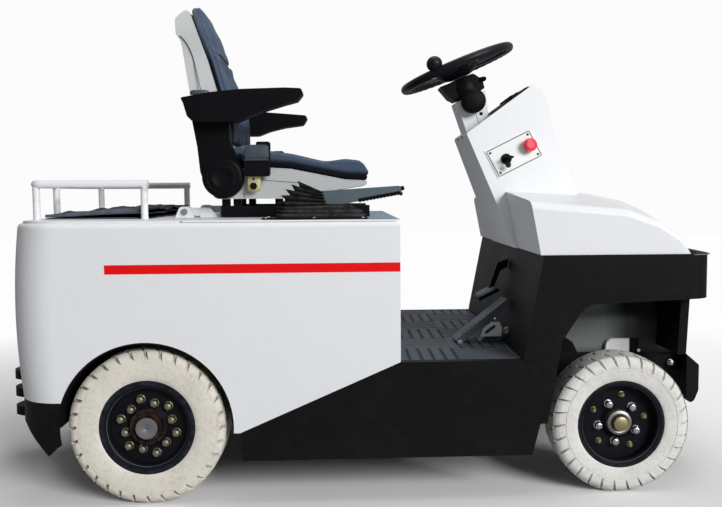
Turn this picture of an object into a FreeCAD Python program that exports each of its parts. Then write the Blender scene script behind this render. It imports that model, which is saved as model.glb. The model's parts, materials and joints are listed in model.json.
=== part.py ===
import FreeCAD, Part
import math
import os

import Sketcher
from FreeCAD import Placement, Rotation, Vector

# Electric tow tractor: a four-wheeled battery tug with a stand-in driver's footwell, a seat on a
# lifting deck, a steered front axle and a three-jaw towing hitch.
#
# Frame: +X is forward, +Y is to the driver's left, +Z is up. The origin is on the ground, midway
# between the tip of the hitch and the face of the front bumper. Lengths are in millimetres.
# Places along the tractor are measured from the rear axle (reach, "..._at") unless they say so.

doc = FreeCAD.newDocument("tow_tractor")
sheet = doc.addObject("Spreadsheet::Sheet", "Sizes")

# ---------------------------------------------------------------------------------------------
# Driving dimensions: alias, value, what it is
# ---------------------------------------------------------------------------------------------
SIZES = (
    # whole tractor
    ("wheelbase", 1305, "rear axle to front axle"),
    ("hitch_reach", 530, "rear axle back to the hitch's tip"),
    ("nose_reach", 296, "front axle forward to the bumper's face"),
    ("half_width", 490, "middle to the outside of the body sides"),
    ("skin", 25, "thickness of body sides and walls"),
    ("gap", 1, "assembly gap between neighbouring pieces"),
    # rear body
    ("body_back_at", 362, "rear axle back to the rear face in the middle"),
    ("body_side_at", 355, "rear axle back to the rear face at its corners"),
    ("body_flat", 200, "half width of the straight middle of the rear face"),
    ("body_bow", 1200, "plan radius where the rear face bends back"),
    ("body_crown", 15, "bulge of the rear face at half height"),
    ("body_front_at", 687, "rear axle forward to the front face of the rear body"),
    ("body_corner", 130, "plan radius of the rear corners"),
    ("body_edge", 14, "rounding of the body's top edge"),
    ("deck_z", 766, "top of the rear body"),
    ("tail_z", 287, "lower edge of the white rear body at the back"),
    ("sill_z", 197, "lowest point of the white body in front of the wheel"),
    ("sill_at", 251, "where the slanting lower edge starts"),
    ("arch_radius", 235, "rear wheel arch"),
    ("liner", 5, "sheet thickness of the arch liners"),
    ("liner_low_z", 216, "lower end of the arch liners"),
    ("well_y", 258, "inner wall of the rear wheel wells"),
    # rear bumper and hitch
    ("bumper_low_z", 142, "lowest tip of the rear bumper corners"),
    ("bumper_tip_at", 259, "rear axle back to the bumper's lowest tip"),
    ("bumper_mid_z", 222, "lower edge of the bumper across the back"),
    ("jaw_thick", 28, "thickness of each hitch jaw"),
    ("jaw_half", 55, "half width of the hitch jaws"),
    ("jaw_top_z", 268, "middle of the top jaw"),
    ("jaw_mid_z", 212, "middle of the middle jaw"),
    ("jaw_low_z", 152, "middle of the lowest jaw"),
    ("jaw_pin_back", 52, "hitch tip to the pin hole's centre"),
    ("jaw_pin_radius", 14, "pin hole through the jaws"),
    ("hitch_plate", 18, "thickness of the hitch's back plate"),
    ("hitch_plate_half", 85, "half width of the hitch's back plate"),
    # rack
    ("rack_tube", 11, "radius of the rack's tube"),
    ("rack_half", 318, "middle to the side rails' centre"),
    ("rack_back_at", 338, "rear axle back to the rear rail"),
    ("rack_front_at", -18, "rear axle forward to the ends of the side rails"),
    ("rack_height", 100, "deck to the rail's centre"),
    ("rack_corner", 20, "bend radius of the rail"),
    ("rack_brace_y", 130, "middle to the extra post under the rear rail"),
    # decks
    ("deck_thick", 6, "deck plates"),
    ("deck_split_at", 98, "front edge of the fixed rear deck"),
    ("lid_gap", 8, "gap between the rear deck and the lifting seat deck"),
    ("cover_front_at", -20, "front edge of the folded battery cover"),
    ("cover_thick", 24, "thickness of the folded battery cover"),
    ("cover_clear", 15, "cover's edges in from the rack's tubes"),
    ("hinge_at", 62, "rear axle forward to the seat deck's hinge"),
    ("hinge_up", 23, "deck top up to the hinge pin"),
    ("hinge_pin", 6, "radius of the hinge pin"),
    ("hinge_y", 190, "middle of each hinge"),
    ("hinge_ear", 8, "thickness of a hinge ear"),
    ("hinge_foot", 28, "half length of a hinge ear's foot"),
    ("pin_fit", 0.05, "radial clearance of pins and shafts that turn"),
    # battery and drive
    ("battery_long", 390, "battery length"),
    ("battery_clear", 7, "battery to the front wall of the body"),
    ("battery_gap", 35, "battery to the body's sides"),
    ("battery_tall", 340, "battery height"),
    ("motor_radius", 85, "drive motor"),
    ("motor_long", 165, "drive motor length"),
    ("axle_tube", 45, "radius of the rear axle tube"),
    ("axle_case", 92, "radius of the differential case"),
    ("axle_case_half", 110, "half width of the differential case"),
    # frame
    ("rail_in", 165, "inner face of the frame rails"),
    ("rail_out", 220, "outer face of the frame rails"),
    ("rail_low_z", 290, "underside of the frame rails"),
    ("rail_top_z", 372, "top of the frame rails"),
    ("cross_wide", 50, "width of the cross members"),
    ("frame_clear", 8, "frame rails' ends to the body's rear wall"),
    ("rail_step_z", 346, "top of the frame rails over the front axle"),
    # footwell
    ("floor_thick", 6, "floor plate"),
    ("mat_thick", 7, "ribbed rubber mat"),
    ("skirt_low_z", 120, "underside of the side skirts"),
    ("skirt_toe_at", 1049, "front lower corner of the skirts"),
    ("skirt_front_at", 1071, "front edge of the skirts"),
    # cowl
    ("cowl_foot_at", 1023, "bulkhead's face at the floor"),
    ("cowl_top_at", 1078, "bulkhead's face at the top"),
    ("cowl_top_z", 671, "top of the cowl"),
    ("band_low_z", 547, "underside of the front band"),
    ("nose_corner", 243, "front axle forward to the band at its corners"),
    ("nose_middle", 277, "front axle forward to the band in the middle"),
    ("apron_reach", 193, "front axle forward to the rear face of the front apron"),
    ("apron_lean", 8, "how far the apron leans forward from foot to top"),
    ("bumper_deep", 38, "front to back of the front bumper"),
    ("bumper_half", 290, "half width of the front bumper"),
    ("cowl_leg_z", 207, "lower end of the cowl legs"),
    ("front_corner", 70, "plan radius of the front corners"),
    ("front_bow", 2600, "plan radius of the bowed front"),
    ("apron_low_z", 375, "underside of the front apron"),
    # hood
    ("hood_back_at", 1070, "rear wall of the hood at its foot"),
    ("hood_inset", 5, "hood stands in from the band"),
    ("hood_set_back", 22, "hood's nose stands in from the band"),
    ("hood_lean", 32, "how far the rear wall leans back up to its top"),
    ("hood_shoulder_z", 820, "outer shoulders of the hood at the back"),
    ("hood_crown_z", 858, "peak of the hood's back cross section, before rounding"),
    ("hood_wall", 12, "wall of the hood moulding"),
    # console
    ("console_top_half", 118, "half width of the console at its top"),
    ("console_low_half", 198, "half width of the console at its foot"),
    ("console_top_z", 1179, "top of the console"),
    ("console_top_at", 1134, "rear axle forward to the top of the console's slope"),
    ("console_back_z", 1024, "rear edge of the console's sloping top"),
    ("console_back_at", 918, "rear axle forward to the rear edge of the sloping top"),
    ("console_front_at", 1317, "rear axle forward to the console's front at its foot"),
    ("panel_back_at", 1003, "rear edge of the instrument panel"),
    ("panel_lift", 5, "thickness of the instrument panel"),
    ("control_at", 1064, "rear axle forward to the control plate's middle"),
    ("control_z", 960, "height of the control plate's middle"),
    ("control_turn", 26.4, "degrees the control plate is turned nose up"),
    ("control_half", 79, "half length of the control plate"),
    ("control_thick", 3, "thickness of the control plate"),
    # steering
    ("wheel_at", 907, "rear axle forward to the steering wheel's centre"),
    ("wheel_z", 1241, "height of the steering wheel's centre"),
    ("wheel_tilt", 21.7, "degrees the steering axis leans back"),
    ("wheel_ring", 179, "steering wheel's ring radius, to the middle of the grip"),
    ("hub_radius", 72, "radius of the steering wheel's hub pad"),
    ("spoke_half", 26, "half width of the spokes"),
    ("knob_turn", 243, "degrees round the ring from straight ahead to the knob"),
    ("knob_radius", 21, "spinner knob"),
    ("knob_tall", 42, "height of the spinner knob"),
    ("grip", 14, "radius of the grip"),
    ("head_radius", 50, "radius of the steering head under the wheel"),
    ("head_low", 100, "wheel's centre down the axis to the steering head's underside"),
    ("head_high", 34, "wheel's centre down the axis to the steering head's top"),
    ("column_half", 60, "half width of the column housing"),
    ("steer_arm", 120, "length of the steering arms"),
    # wheels
    ("rear_tyre_radius", 212.5, "rear tyre"),
    ("rear_tyre_half", 75, "half width of the rear tyre"),
    ("rear_wheel_y", 405, "middle of the rear tyres"),
    ("front_tyre_radius", 194, "front tyre"),
    ("front_tyre_half", 59, "half width of the front tyre"),
    ("front_wheel_y", 411, "middle of the front tyres"),
    ("seat_radius", 122, "radius where the tyre sits on the rim"),
    ("lip_radius", 130, "radius of the rim's lips"),
    ("barrel_radius", 110, "inside radius of the rim barrel"),
    ("rear_spindle", 30, "radius of the rear axle ends"),
    ("front_spindle", 22, "radius of the front spindles"),
    ("kingpin_y", 320, "middle to the kingpins"),
    ("kingpin", 16, "radius of the kingpins"),
    ("boss", 28, "radius of the axle's kingpin bosses"),
    ("boss_half", 45, "half height of the bosses"),
    ("ear", 18, "thickness of the knuckle's ears"),
    ("beam_half", 30, "half depth and half height of the front axle beam"),
    # seat
    ("seat_half", 240, "half width of the seat"),
    ("back_half", 225, "half width of the backrest at the armrests"),
    ("back_top_z", 1437, "top of the backrest"),
    ("seat_rail_y", 200, "middle of the seat rails"),
    ("pan_low_z", 827, "underside of the seat pan"),
    ("arm_y", 292, "middle of the armrests"),
    ("arm_half", 28, "half width of the armrests"),
    # brake lever
    ("lever_y", -412, "middle of the brake lever"),
    ("lever_half", 15, "half width of the brake lever"),
    ("boot_half", 38, "half width of the lever's bellows"),
)


def fill_sheet():
    """Write the driving dimensions into the spreadsheet, one row each."""
    for row, (alias, value, note) in enumerate(SIZES, start=1):
        sheet.set("A%d" % row, note)
        sheet.set("B%d" % row, str(value))
        sheet.setAlias("B%d" % row, alias)
    doc.recompute()


class Size:
    """A length or angle that carries its formula, so that a property can be tied to the sheet."""

    def __init__(self, value, text):
        self.value = float(value)
        self.text = text

    def joined(self, sign, other, value):
        return Size(value, "(%s %s %s)" % (self.text, sign, as_size(other).text))

    def __add__(self, other):
        return self.joined("+", other, self.value + as_size(other).value)

    def __radd__(self, other):
        return as_size(other) + self

    def __sub__(self, other):
        return self.joined("-", other, self.value - as_size(other).value)

    def __rsub__(self, other):
        return as_size(other) - self

    def __mul__(self, other):
        return self.joined("*", other, self.value * as_size(other).value)

    def __rmul__(self, other):
        return as_size(other) * self

    def __truediv__(self, other):
        return self.joined("/", other, self.value / as_size(other).value)

    def __neg__(self):
        return Size(-self.value, "(0 - %s)" % self.text)


def as_size(number):
    """A plain number as a Size."""
    return number if isinstance(number, Size) else Size(number, "(%r)" % float(number))


class Cells:
    """The sheet's cells by alias: s.wheelbase is the Size of the cell called wheelbase."""

    def __getattr__(self, alias):
        return Size(sheet.get(alias), "Sizes.%s" % alias)


s = Cells()


def bind(thing, path, size):
    """Tie one property of an object to the formula that a Size carries."""
    thing.setExpression(path, as_size(size).text)


# ---------------------------------------------------------------------------------------------
# Sketching and features
# ---------------------------------------------------------------------------------------------
nodes = []                 # the bodies that are written out, one node each


def new_body(name, node=True):
    """A PartDesign body. A node may hold solids that don't touch; a helper body isn't written."""
    body = doc.addObject("PartDesign::Body", name)
    body.Label = name
    body.AllowCompound = True
    if node:
        nodes.append(body)
    return body


def new_sketch(body, plane, lift=0):
    """A sketch on one of the body's origin planes, lifted along that plane's normal."""
    sketch = body.newObject("Sketcher::SketchObject", body.Name + "_sketch")
    origin = next(f for f in body.Origin.OriginFeatures if f.Role == plane)
    sketch.AttachmentSupport = [(origin, "")]
    sketch.MapMode = "FlatFace"
    bind(sketch, "AttachmentOffset.Base.z", lift)
    return sketch


def corner_arc(points, i, radius):
    """Entry point, leaving point, centre and sense of the arc that rounds corner i."""
    here = points[i]
    back = (points[i - 1] - here).normalize()
    ahead = (points[(i + 1) % len(points)] - here).normalize()
    half = back.getAngle(ahead) / 2
    reach = radius / math.tan(half)
    centre = here + (back + ahead).normalize() * (radius / math.sin(half))
    return here + back * reach, here + ahead * reach, centre, back.cross(ahead).z > 0


def draw_outline(sketch, corners, closed=True):
    """Draw a fully constrained outline from (across, up) or (across, up, radius) corners.

    Each corner's place is tied to the sheet. A rounded corner keeps its sharp corner as a
    construction point on both sides, and its arc is tangent to them.
    """
    rule = Sketcher.Constraint
    points = [Vector(as_size(c[0]).value, as_size(c[1]).value, 0) for c in corners]
    count = len(points)
    first = len(sketch.Geometry)
    entries, leaves, arcs = list(points), list(points), {}
    for i, corner in enumerate(corners):
        if len(corner) > 2:
            radius = as_size(corner[2])
            entries[i], leaves[i], centre, left = corner_arc(points, i, radius.value)
            arcs[i] = (centre, radius, left)
    sides = count if closed else count - 1
    shapes = [Part.LineSegment(leaves[i], entries[(i + 1) % count]) for i in range(sides)]
    rules, tied, construction = [], [], []
    for i in range(count):
        before = first + (i - 1) % count
        after = first + i
        if i in arcs:
            centre, radius, left = arcs[i]
            start, stop = (leaves[i], entries[i]) if left else (entries[i], leaves[i])
            angles = [math.atan2(p.y - centre.y, p.x - centre.x) for p in (start, stop)]
            circle = Part.Circle(centre, Vector(0, 0, 1), radius.value)
            arc = first + len(shapes)
            shapes.append(Part.ArcOfCircle(circle, angles[0], angles[1]))
            shapes.append(Part.Point(points[i]))
            construction.append(arc + 1)
            entry_end, leave_end = (2, 1) if left else (1, 2)
            rules.append(rule("Tangent", before, 2, arc, entry_end))
            rules.append(rule("Tangent", arc, leave_end, after, 1))
            rules.append(rule("PointOnObject", arc + 1, 1, before))
            rules.append(rule("PointOnObject", arc + 1, 1, after))
            tied.append((len(rules), radius))
            rules.append(rule("Radius", arc, radius.value))
            place = (arc + 1, 1)
        elif closed or 0 < i < count - 1:
            rules.append(rule("Coincident", before, 2, after, 1))
            place = (after, 1)
        else:
            place = (after, 1) if i == 0 else (before, 2)
        for kind, size in zip(("DistanceX", "DistanceY"), corners[i]):
            tied.append((len(rules), as_size(size)))
            rules.append(rule(kind, -1, 1, place[0], place[1], as_size(size).value))
    offset = len(sketch.Constraints)
    sketch.addGeometry(shapes, False)
    for index in construction:
        sketch.setConstruction(index, True)
    sketch.addConstraint(rules)
    for index, size in tied:
        sketch.setExpression("Constraints[%d]" % (offset + index), size.text)


def draw_circle(sketch, across, up, radius):
    """Draw a circle whose centre and radius are tied to the sheet."""
    rule = Sketcher.Constraint
    across, up, radius = as_size(across), as_size(up), as_size(radius)
    centre = Vector(across.value, up.value, 0)
    index = sketch.addGeometry(Part.Circle(centre, Vector(0, 0, 1), radius.value), False)
    offset = len(sketch.Constraints)
    sketch.addConstraint([
        rule("DistanceX", -1, 1, index, 3, across.value),
        rule("DistanceY", -1, 1, index, 3, up.value),
        rule("Radius", index, radius.value),
    ])
    for step, size in enumerate((across, up, radius)):
        sketch.setExpression("Constraints[%d]" % (offset + step), size.text)


def extrude(body, kind, plane, outlines, low, high):
    """Pad or pocket outlines and circles (across, up, radius in a "circle" entry) from low to high.

    The XZ plane's normal points along -Y, so there the sketch lies at the high end.
    """
    lift = -high if plane == "XZ_Plane" else low
    sketch = new_sketch(body, plane, lift)
    for entry in outlines:
        if entry[0] == "circle":
            draw_circle(sketch, *entry[1:])
        else:
            draw_outline(sketch, entry)
    feature = body.newObject("PartDesign::" + kind, body.Name + "_" + kind.lower())
    feature.Profile = sketch
    bind(feature, "Length", high - low if isinstance(high, Size) else as_size(high) - low)
    if kind == "Pocket":
        feature.Reversed = True
    body.Tip = feature
    return feature


def pad_side(body, outline, low_y, high_y):
    """Add a plate or bar with this side view (X, Z)."""
    return extrude(body, "Pad", "XZ_Plane", [outline], low_y, high_y)


def cut_side(body, outline, low_y, high_y):
    """Cut this side view (X, Z) away."""
    return extrude(body, "Pocket", "XZ_Plane", [outline], low_y, high_y)


def pad_plan(body, outline, low_z, high_z):
    """Add a block with this plan view (X, Y)."""
    return extrude(body, "Pad", "XY_Plane", [outline], low_z, high_z)


def cut_plan(body, outline, low_z, high_z):
    """Cut this plan view (X, Y) away."""
    return extrude(body, "Pocket", "XY_Plane", [outline], low_z, high_z)


def pad_front(body, outline, low_x, high_x):
    """Add a block with this front view (Y, Z)."""
    return extrude(body, "Pad", "YZ_Plane", [outline], low_x, high_x)


def cut_front(body, outline, low_x, high_x):
    """Cut this front view (Y, Z) away."""
    return extrude(body, "Pocket", "YZ_Plane", [outline], low_x, high_x)


def box(body, x, y, z):
    """Add a rectangular block from its (low, high) ranges along X, Y and Z."""
    return pad_plan(body, rectangle(x, y), z[0], z[1])


def rectangle(across, up, radius=None):
    """Corners of a rectangle from its two (low, high) ranges, rounded if a radius is given."""
    corners = [(across[0], up[0]), (across[1], up[0]), (across[1], up[1]), (across[0], up[1])]
    return [c + (radius,) for c in corners] if radius is not None else corners


def revolve(body, corners, plane="YZ_Plane", axis="H_Axis"):
    """Turn a profile of (along, radius) corners a full turn about the body's axis."""
    sketch = new_sketch(body, plane)
    draw_outline(sketch, corners)
    feature = body.newObject("PartDesign::Revolution", body.Name + "_turned")
    feature.Profile = sketch
    feature.ReferenceAxis = (sketch, [axis])
    feature.Angle = 360
    body.Tip = feature
    return feature


def mirror_left_right(body):
    """Repeat everything in the body on the other side of the middle plane."""
    solid_features = ("PartDesign::Pad", "PartDesign::Pocket", "PartDesign::Revolution")
    originals = [f for f in body.Group if f.TypeId in solid_features]
    feature = body.newObject("PartDesign::Mirrored", body.Name + "_mirrored")
    middle = next(f for f in body.Origin.OriginFeatures if f.Role == "XZ_Plane")
    feature.Originals = originals
    feature.MirrorPlane = (middle, [""])
    body.Tip = feature
    return feature


def place(body, x, y, z, tilt=None):
    """Move a finished body to its place, and lean it back about the Y axis if asked."""
    if tilt is not None:
        body.Placement = Placement(Vector(0, 0, 0), Rotation(Vector(0, -1, 0), 1))
        bind(body, "Placement.Rotation.Angle", tilt)
    bind(body, "Placement.Base.x", x)
    bind(body, "Placement.Base.y", y)
    bind(body, "Placement.Base.z", z)


def round_edges(body, radius, wanted):
    """Fillet the edges of the body's tip for which wanted(edge) holds."""
    doc.recompute()
    base = body.Tip
    names = ["Edge%d" % (i + 1) for i, edge in enumerate(base.Shape.Edges) if wanted(edge)]
    feature = body.newObject("PartDesign::Fillet", body.Name + "_rounded")
    feature.Base = (base, names)
    bind(feature, "Radius", radius)
    body.Tip = feature
    return feature


fill_sheet()

# ---------------------------------------------------------------------------------------------
# Places worked out from the driving dimensions
# ---------------------------------------------------------------------------------------------
OVER = 60                  # how far a cut runs past the piece that it cuts
HOOD_SHOULDER = 22         # rounding of the hood's shoulders
rear_x = (s.hitch_reach - s.wheelbase - s.nose_reach) / 2
front_x = rear_x + s.wheelbase
body_back = rear_x - s.body_back_at
body_front = rear_x + s.body_front_at
floor_z = s.rail_top_z + s.floor_thick
mat_z = floor_z + s.mat_thick
lid_z = s.deck_z + s.deck_thick
hinge_x = rear_x + s.hinge_at
hinge_z = s.deck_z + s.hinge_up
inside = s.half_width - s.skin
battery_front = body_front - s.skin - s.battery_clear
battery_back = battery_front - s.battery_long
bumper_face = front_x + s.nose_reach


def from_rear(at):
    """The X of a place given from the rear axle."""
    return rear_x + at


def side_view(origin, corners):
    """Side-view corners (reach, height, and a radius if rounded) set out from an X."""
    return [(origin + corner[0],) + tuple(corner[1:]) for corner in corners]


# ---------------------------------------------------------------------------------------------
# Rear body, decks and rack
# ---------------------------------------------------------------------------------------------
def rear_plan(inset=0, crown=0, front=None):
    """Plan outline of the rear body, drawn in by inset and bulged at the back by crown."""
    half = s.half_width - inset
    flat = s.body_flat - inset
    nose = body_front - inset if front is None else front
    side = rear_x - s.body_side_at + inset - crown
    middle = body_back + inset - crown
    return [
        (side, -half, s.body_corner - inset),
        (nose, -half),
        (nose, half),
        (side, half, s.body_corner - inset),
        (middle, flat, s.body_bow),
        (middle, -flat, s.body_bow),
    ]


def make_rear_body():
    """White sheet body: a loft whose rear face bulges, hollowed, with arches and slanting sills."""
    body = new_body("rear_body")
    rise = s.deck_z - s.tail_z
    levels = (  # height, share of the full bulge
        (s.deck_z, 0),
        (s.deck_z - rise / 2, 1),
        (s.tail_z, 0),
        (s.sill_z, -0.9),
    )
    sketches = []
    for height, share in levels:
        sketch = new_sketch(body, "XY_Plane", height)
        draw_outline(sketch, rear_plan(0, s.body_crown * share))
        sketches.append(sketch)
    shell = body.newObject("PartDesign::AdditiveLoft", "rear_body_loft")
    shell.Profile = sketches[0]
    shell.Sections = sketches[1:]
    body.Tip = shell
    round_edges(body, s.body_edge, lambda e: abs(e.BoundBox.ZMin - s.deck_z.value) < 0.01)
    cut_plan(body, rear_plan(s.skin), s.sill_z - OVER, s.deck_z + OVER)
    below = [
        (body_back - OVER, s.sill_z - OVER),
        (body_front + OVER, s.sill_z - OVER),
        (body_front + OVER, mat_z),
        (body_front, mat_z),
        (from_rear(s.sill_at), s.sill_z),
        (rear_x, s.sill_z),
        (rear_x, s.tail_z),
        (body_back - OVER, s.tail_z),
    ]
    wide = s.half_width + OVER
    cut_side(body, below, -wide, wide)
    arch = ("circle", rear_x, s.rear_tyre_radius, s.arch_radius)
    extrude(body, "Pocket", "XZ_Plane", [arch], -wide, wide)


def make_fender_liners():
    """Black arch liners: a half ring over each rear tyre with its inner wall."""
    body = new_body("fender_liners")
    outer = s.arch_radius - s.gap / 2
    centre = (rear_x, s.rear_tyre_radius)
    ring = [("circle",) + centre + (outer,), ("circle",) + centre + (outer - s.liner,)]
    extrude(body, "Pad", "XZ_Plane", ring, s.well_y, s.half_width - s.gap * 2)
    wall = [("circle",) + centre + (outer,), ("circle",) + centre + (s.axle_case + s.liner,)]
    extrude(body, "Pad", "XZ_Plane", wall, s.well_y - s.liner, s.well_y)
    reach = s.arch_radius + OVER
    below = rectangle((rear_x - reach, rear_x + reach), (-reach, s.liner_low_z))
    cut_side(body, below, 0, s.half_width + OVER)
    mirror_left_right(body)


def make_rear_bumper():
    """Black lower rear corner: follows the body's plan and ends in a point beside each tyre."""
    body = new_body("rear_bumper")
    pad_plan(body, rear_plan(), s.bumper_low_z, s.tail_z)
    cut_plan(body, rear_plan(s.skin), 0, s.tail_z + OVER)
    wide = s.half_width + OVER
    tip = rear_x - s.bumper_tip_at
    outside = [
        (body_back - OVER, 0),
        (body_front + OVER, 0),
        (body_front + OVER, s.tail_z + OVER),
        (rear_x - s.arch_radius / 2, s.tail_z + OVER),
        (rear_x - s.arch_radius / 2, s.bumper_low_z + s.skin),
        (tip + s.skin, s.bumper_low_z + s.skin),
        (tip, s.bumper_low_z),
        (body_back + s.skin, s.bumper_mid_z),
        (body_back - OVER, s.bumper_mid_z),
    ]
    cut_side(body, outside, -wide, wide)
    arch = ("circle", rear_x, s.rear_tyre_radius, s.arch_radius)
    extrude(body, "Pocket", "XZ_Plane", [arch], -wide, wide)


def make_tow_hitch():
    """Hitch: a back plate and neck with three jaws, bored on one axis for the towing pin."""
    body = new_body("tow_hitch")
    face = body_back - s.hitch_plate
    low = s.jaw_low_z - s.jaw_thick / 2
    plate = rectangle((-s.hitch_plate_half, s.hitch_plate_half), (low, s.tail_z), s.hitch_plate)
    pad_front(body, plate, face, body_back)
    neck = (body_back, rear_x - s.arch_radius / 2 - s.cross_wide)
    box(body, neck, (-s.jaw_half, s.jaw_half), (low, s.bumper_mid_z - s.gap))
    tip = rear_x - s.hitch_reach
    nose = s.jaw_half - s.gap
    for middle in (s.jaw_top_z, s.jaw_mid_z, s.jaw_low_z):
        jaw = [
            (tip, -s.jaw_half, nose),
            (face, -s.jaw_half),
            (face, s.jaw_half),
            (tip, s.jaw_half, nose),
        ]
        pad_plan(body, jaw, middle - s.jaw_thick / 2, middle + s.jaw_thick / 2)
    pin = ("circle", tip + s.jaw_pin_back, 0, s.jaw_pin_radius)
    extrude(body, "Pocket", "XY_Plane", [pin], 0, s.tail_z + OVER)


def make_cargo_rack():
    """White tube rack: a U-shaped rail on posts, open to the front."""
    body = new_body("cargo_rack")
    back, front = rear_x - s.rack_back_at, from_rear(s.rack_front_at)
    top = s.deck_z + s.deck_thick + s.rack_height
    path = new_sketch(body, "XY_Plane", top)
    rail = [
        (front, -s.rack_half),
        (back, -s.rack_half, s.rack_corner),
        (back, s.rack_half, s.rack_corner),
        (front, s.rack_half),
    ]
    draw_outline(path, rail, closed=False)
    section = new_sketch(body, "YZ_Plane", front)
    draw_circle(section, -s.rack_half, top, s.rack_tube)
    pipe = body.newObject("PartDesign::AdditivePipe", "rack_rail")
    pipe.Profile = section
    pipe.Spine = (path, [])
    body.Tip = pipe
    bend = s.rack_corner * 0.3
    posts = (  # X, Y
        (front - s.rack_tube, -s.rack_half),
        (front - s.rack_tube, s.rack_half),
        (back + bend, bend - s.rack_half),
        (back + bend, s.rack_half - bend),
        (back, -s.rack_brace_y),
    )
    feet = [("circle", x, y, s.rack_tube - s.gap) for x, y in posts]
    extrude(body, "Pad", "XY_Plane", feet, s.deck_z + s.deck_thick, top)


def make_rear_deck():
    """Fixed deck plate over the drive, with the hinge ears of the seat deck standing on it."""
    body = new_body("rear_deck")
    plate = rear_plan(s.body_edge - s.gap, 0, from_rear(s.deck_split_at))
    pad_plan(body, plate, s.deck_z, lid_z)
    round_top = s.hinge_pin * 2.5
    ear = [
        (hinge_x - s.hinge_foot, lid_z),
        (hinge_x + s.hinge_foot, lid_z),
        (hinge_x + round_top, hinge_z + round_top, s.hinge_pin * 2),
        (hinge_x - round_top, hinge_z + round_top, s.hinge_pin * 2),
    ]
    for side in (-1, 1):
        for hand in (-1, 1):
            middle = side * s.hinge_y + hand * s.hinge_ear * 1.6
            pad_side(body, ear, middle - s.hinge_ear / 2, middle + s.hinge_ear / 2)
    bore = ("circle", hinge_x, hinge_z, s.hinge_pin)
    far = s.hinge_y + s.hinge_ear * 4
    extrude(body, "Pocket", "XZ_Plane", [bore], -far, far)


def make_hinge_pins():
    """The two pins held in the rear deck's hinge ears, on which the seat deck swings."""
    body = new_body("hinge_pins")
    pin = ("circle", hinge_x, hinge_z, s.hinge_pin)
    half = s.hinge_ear * 2.6
    for side in (-1, 1):
        middle = side * s.hinge_y
        extrude(body, "Pad", "XZ_Plane", [pin], middle - half, middle + half)


def make_battery_cover():
    """The folded rubber cover that lies on the rear deck."""
    body = new_body("battery_cover")
    back = rear_x - s.rack_back_at + s.cover_clear
    half = s.rack_half - s.rack_tube - s.cover_clear / 2
    box(body, (back, from_rear(s.cover_front_at)), (-half, half), (lid_z, lid_z + s.cover_thick))


def make_seat_deck():
    """Lifting deck over the battery: a plate with two hinge arms reaching back."""
    body = new_body("seat_deck")
    back = from_rear(s.deck_split_at) + s.lid_gap
    front = body_front - s.gap
    half = s.half_width - s.body_edge
    box(body, (back, front), (-half, half), (s.deck_z + s.gap, lid_z))
    round_arm = s.hinge_pin * 2
    rise = hinge_z + round_arm
    arm = [
        (hinge_x - round_arm, hinge_z - round_arm, round_arm * 0.9),
        (back, hinge_z - round_arm),
        (back, lid_z),
        (back + s.hinge_foot * 2, lid_z),
        (back + s.hinge_foot, rise, round_arm),
        (hinge_x - round_arm, rise, round_arm * 0.9),
    ]
    for side in (-1, 1):
        middle = side * s.hinge_y
        pad_side(body, arm, middle - s.hinge_ear / 2, middle + s.hinge_ear / 2)
    bore = ("circle", hinge_x, hinge_z, s.hinge_pin + s.pin_fit)
    far = s.hinge_y + s.hinge_ear * 4
    extrude(body, "Pocket", "XZ_Plane", [bore], -far, far)


# ---------------------------------------------------------------------------------------------
# Frame, battery and drive
# ---------------------------------------------------------------------------------------------
def make_chassis_frame():
    """Ladder frame: two rails, cross members and the lobed plates above the front axle."""
    body = new_body("chassis_frame")
    back = body_back + s.skin + s.frame_clear
    front = bumper_face - s.bumper_deep
    for side in (-1, 1):
        y = (s.rail_in, s.rail_out) if side > 0 else (-s.rail_out, -s.rail_in)
        box(body, (back, front), y, (s.rail_low_z, s.rail_top_z))
    hitch_end = rear_x - s.arch_radius / 2 - s.cross_wide
    crosses = (  # rear face, low Z
        (hitch_end - s.cross_wide * 2, s.bumper_mid_z - s.gap),
        (battery_back, s.rail_low_z),
        (body_front, s.rail_low_z),
        (from_rear(s.cowl_foot_at) - s.cross_wide, s.rail_low_z),
        (front - s.cross_wide, s.rail_low_z),
    )
    for x, low in crosses:
        box(body, (x, x + s.cross_wide), (-s.rail_in, s.rail_in), (low, s.rail_top_z))
    step = rectangle((front_x - 58, front + OVER), (s.rail_step_z, s.rail_top_z + OVER))
    cut_side(body, step, -s.rail_out, s.rail_out)
    lobes = side_view(front_x, (
        (-190, s.rail_low_z), (235, s.rail_low_z), (235, s.rail_step_z - 5), (193, s.rail_step_z - 5),
        (178, 380, 12), (163, 393, 12), (45, 394, 14), (28, 354, 6), (-57, 349, 6), (-72, 382, 12),
        (-92, 397, 14), (-190, 397),
    ))
    for side in (-1, 1):
        inner, outer = s.rail_out - 5, s.rail_out + 10
        y = (inner, outer) if side > 0 else (-outer, -inner)
        pad_side(body, lobes, y[0], y[1])


def make_battery():
    """Traction battery: a heavy plain block between the rails and the lifting deck."""
    body = new_body("battery")
    half = inside - s.battery_gap
    box(body, (battery_back, battery_front), (-half, half),
        (s.rail_top_z, s.rail_top_z + s.battery_tall))


def make_rear_axle():
    """Rear axle: tube, differential case, machined ends and the drive motor in front of it."""
    body = new_body("rear_axle")
    end = s.rear_wheel_y + 40
    neck = s.well_y + 60
    revolve(body, [
        (-end, 0), (end, 0), (end, s.rear_spindle), (neck, s.rear_spindle),
        (neck, s.axle_tube), (s.axle_case_half, s.axle_tube), (s.axle_case_half - 40, s.axle_case),
        (40 - s.axle_case_half, s.axle_case), (-s.axle_case_half, s.axle_tube),
        (-neck, s.axle_tube), (-neck, s.rear_spindle), (-end, s.rear_spindle),
    ])
    motor = ("circle", 0, 0, s.motor_radius)
    extrude(body, "Pad", "YZ_Plane", [motor], 0, s.axle_case + s.motor_long)
    place(body, rear_x, 0, s.rear_tyre_radius)


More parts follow.
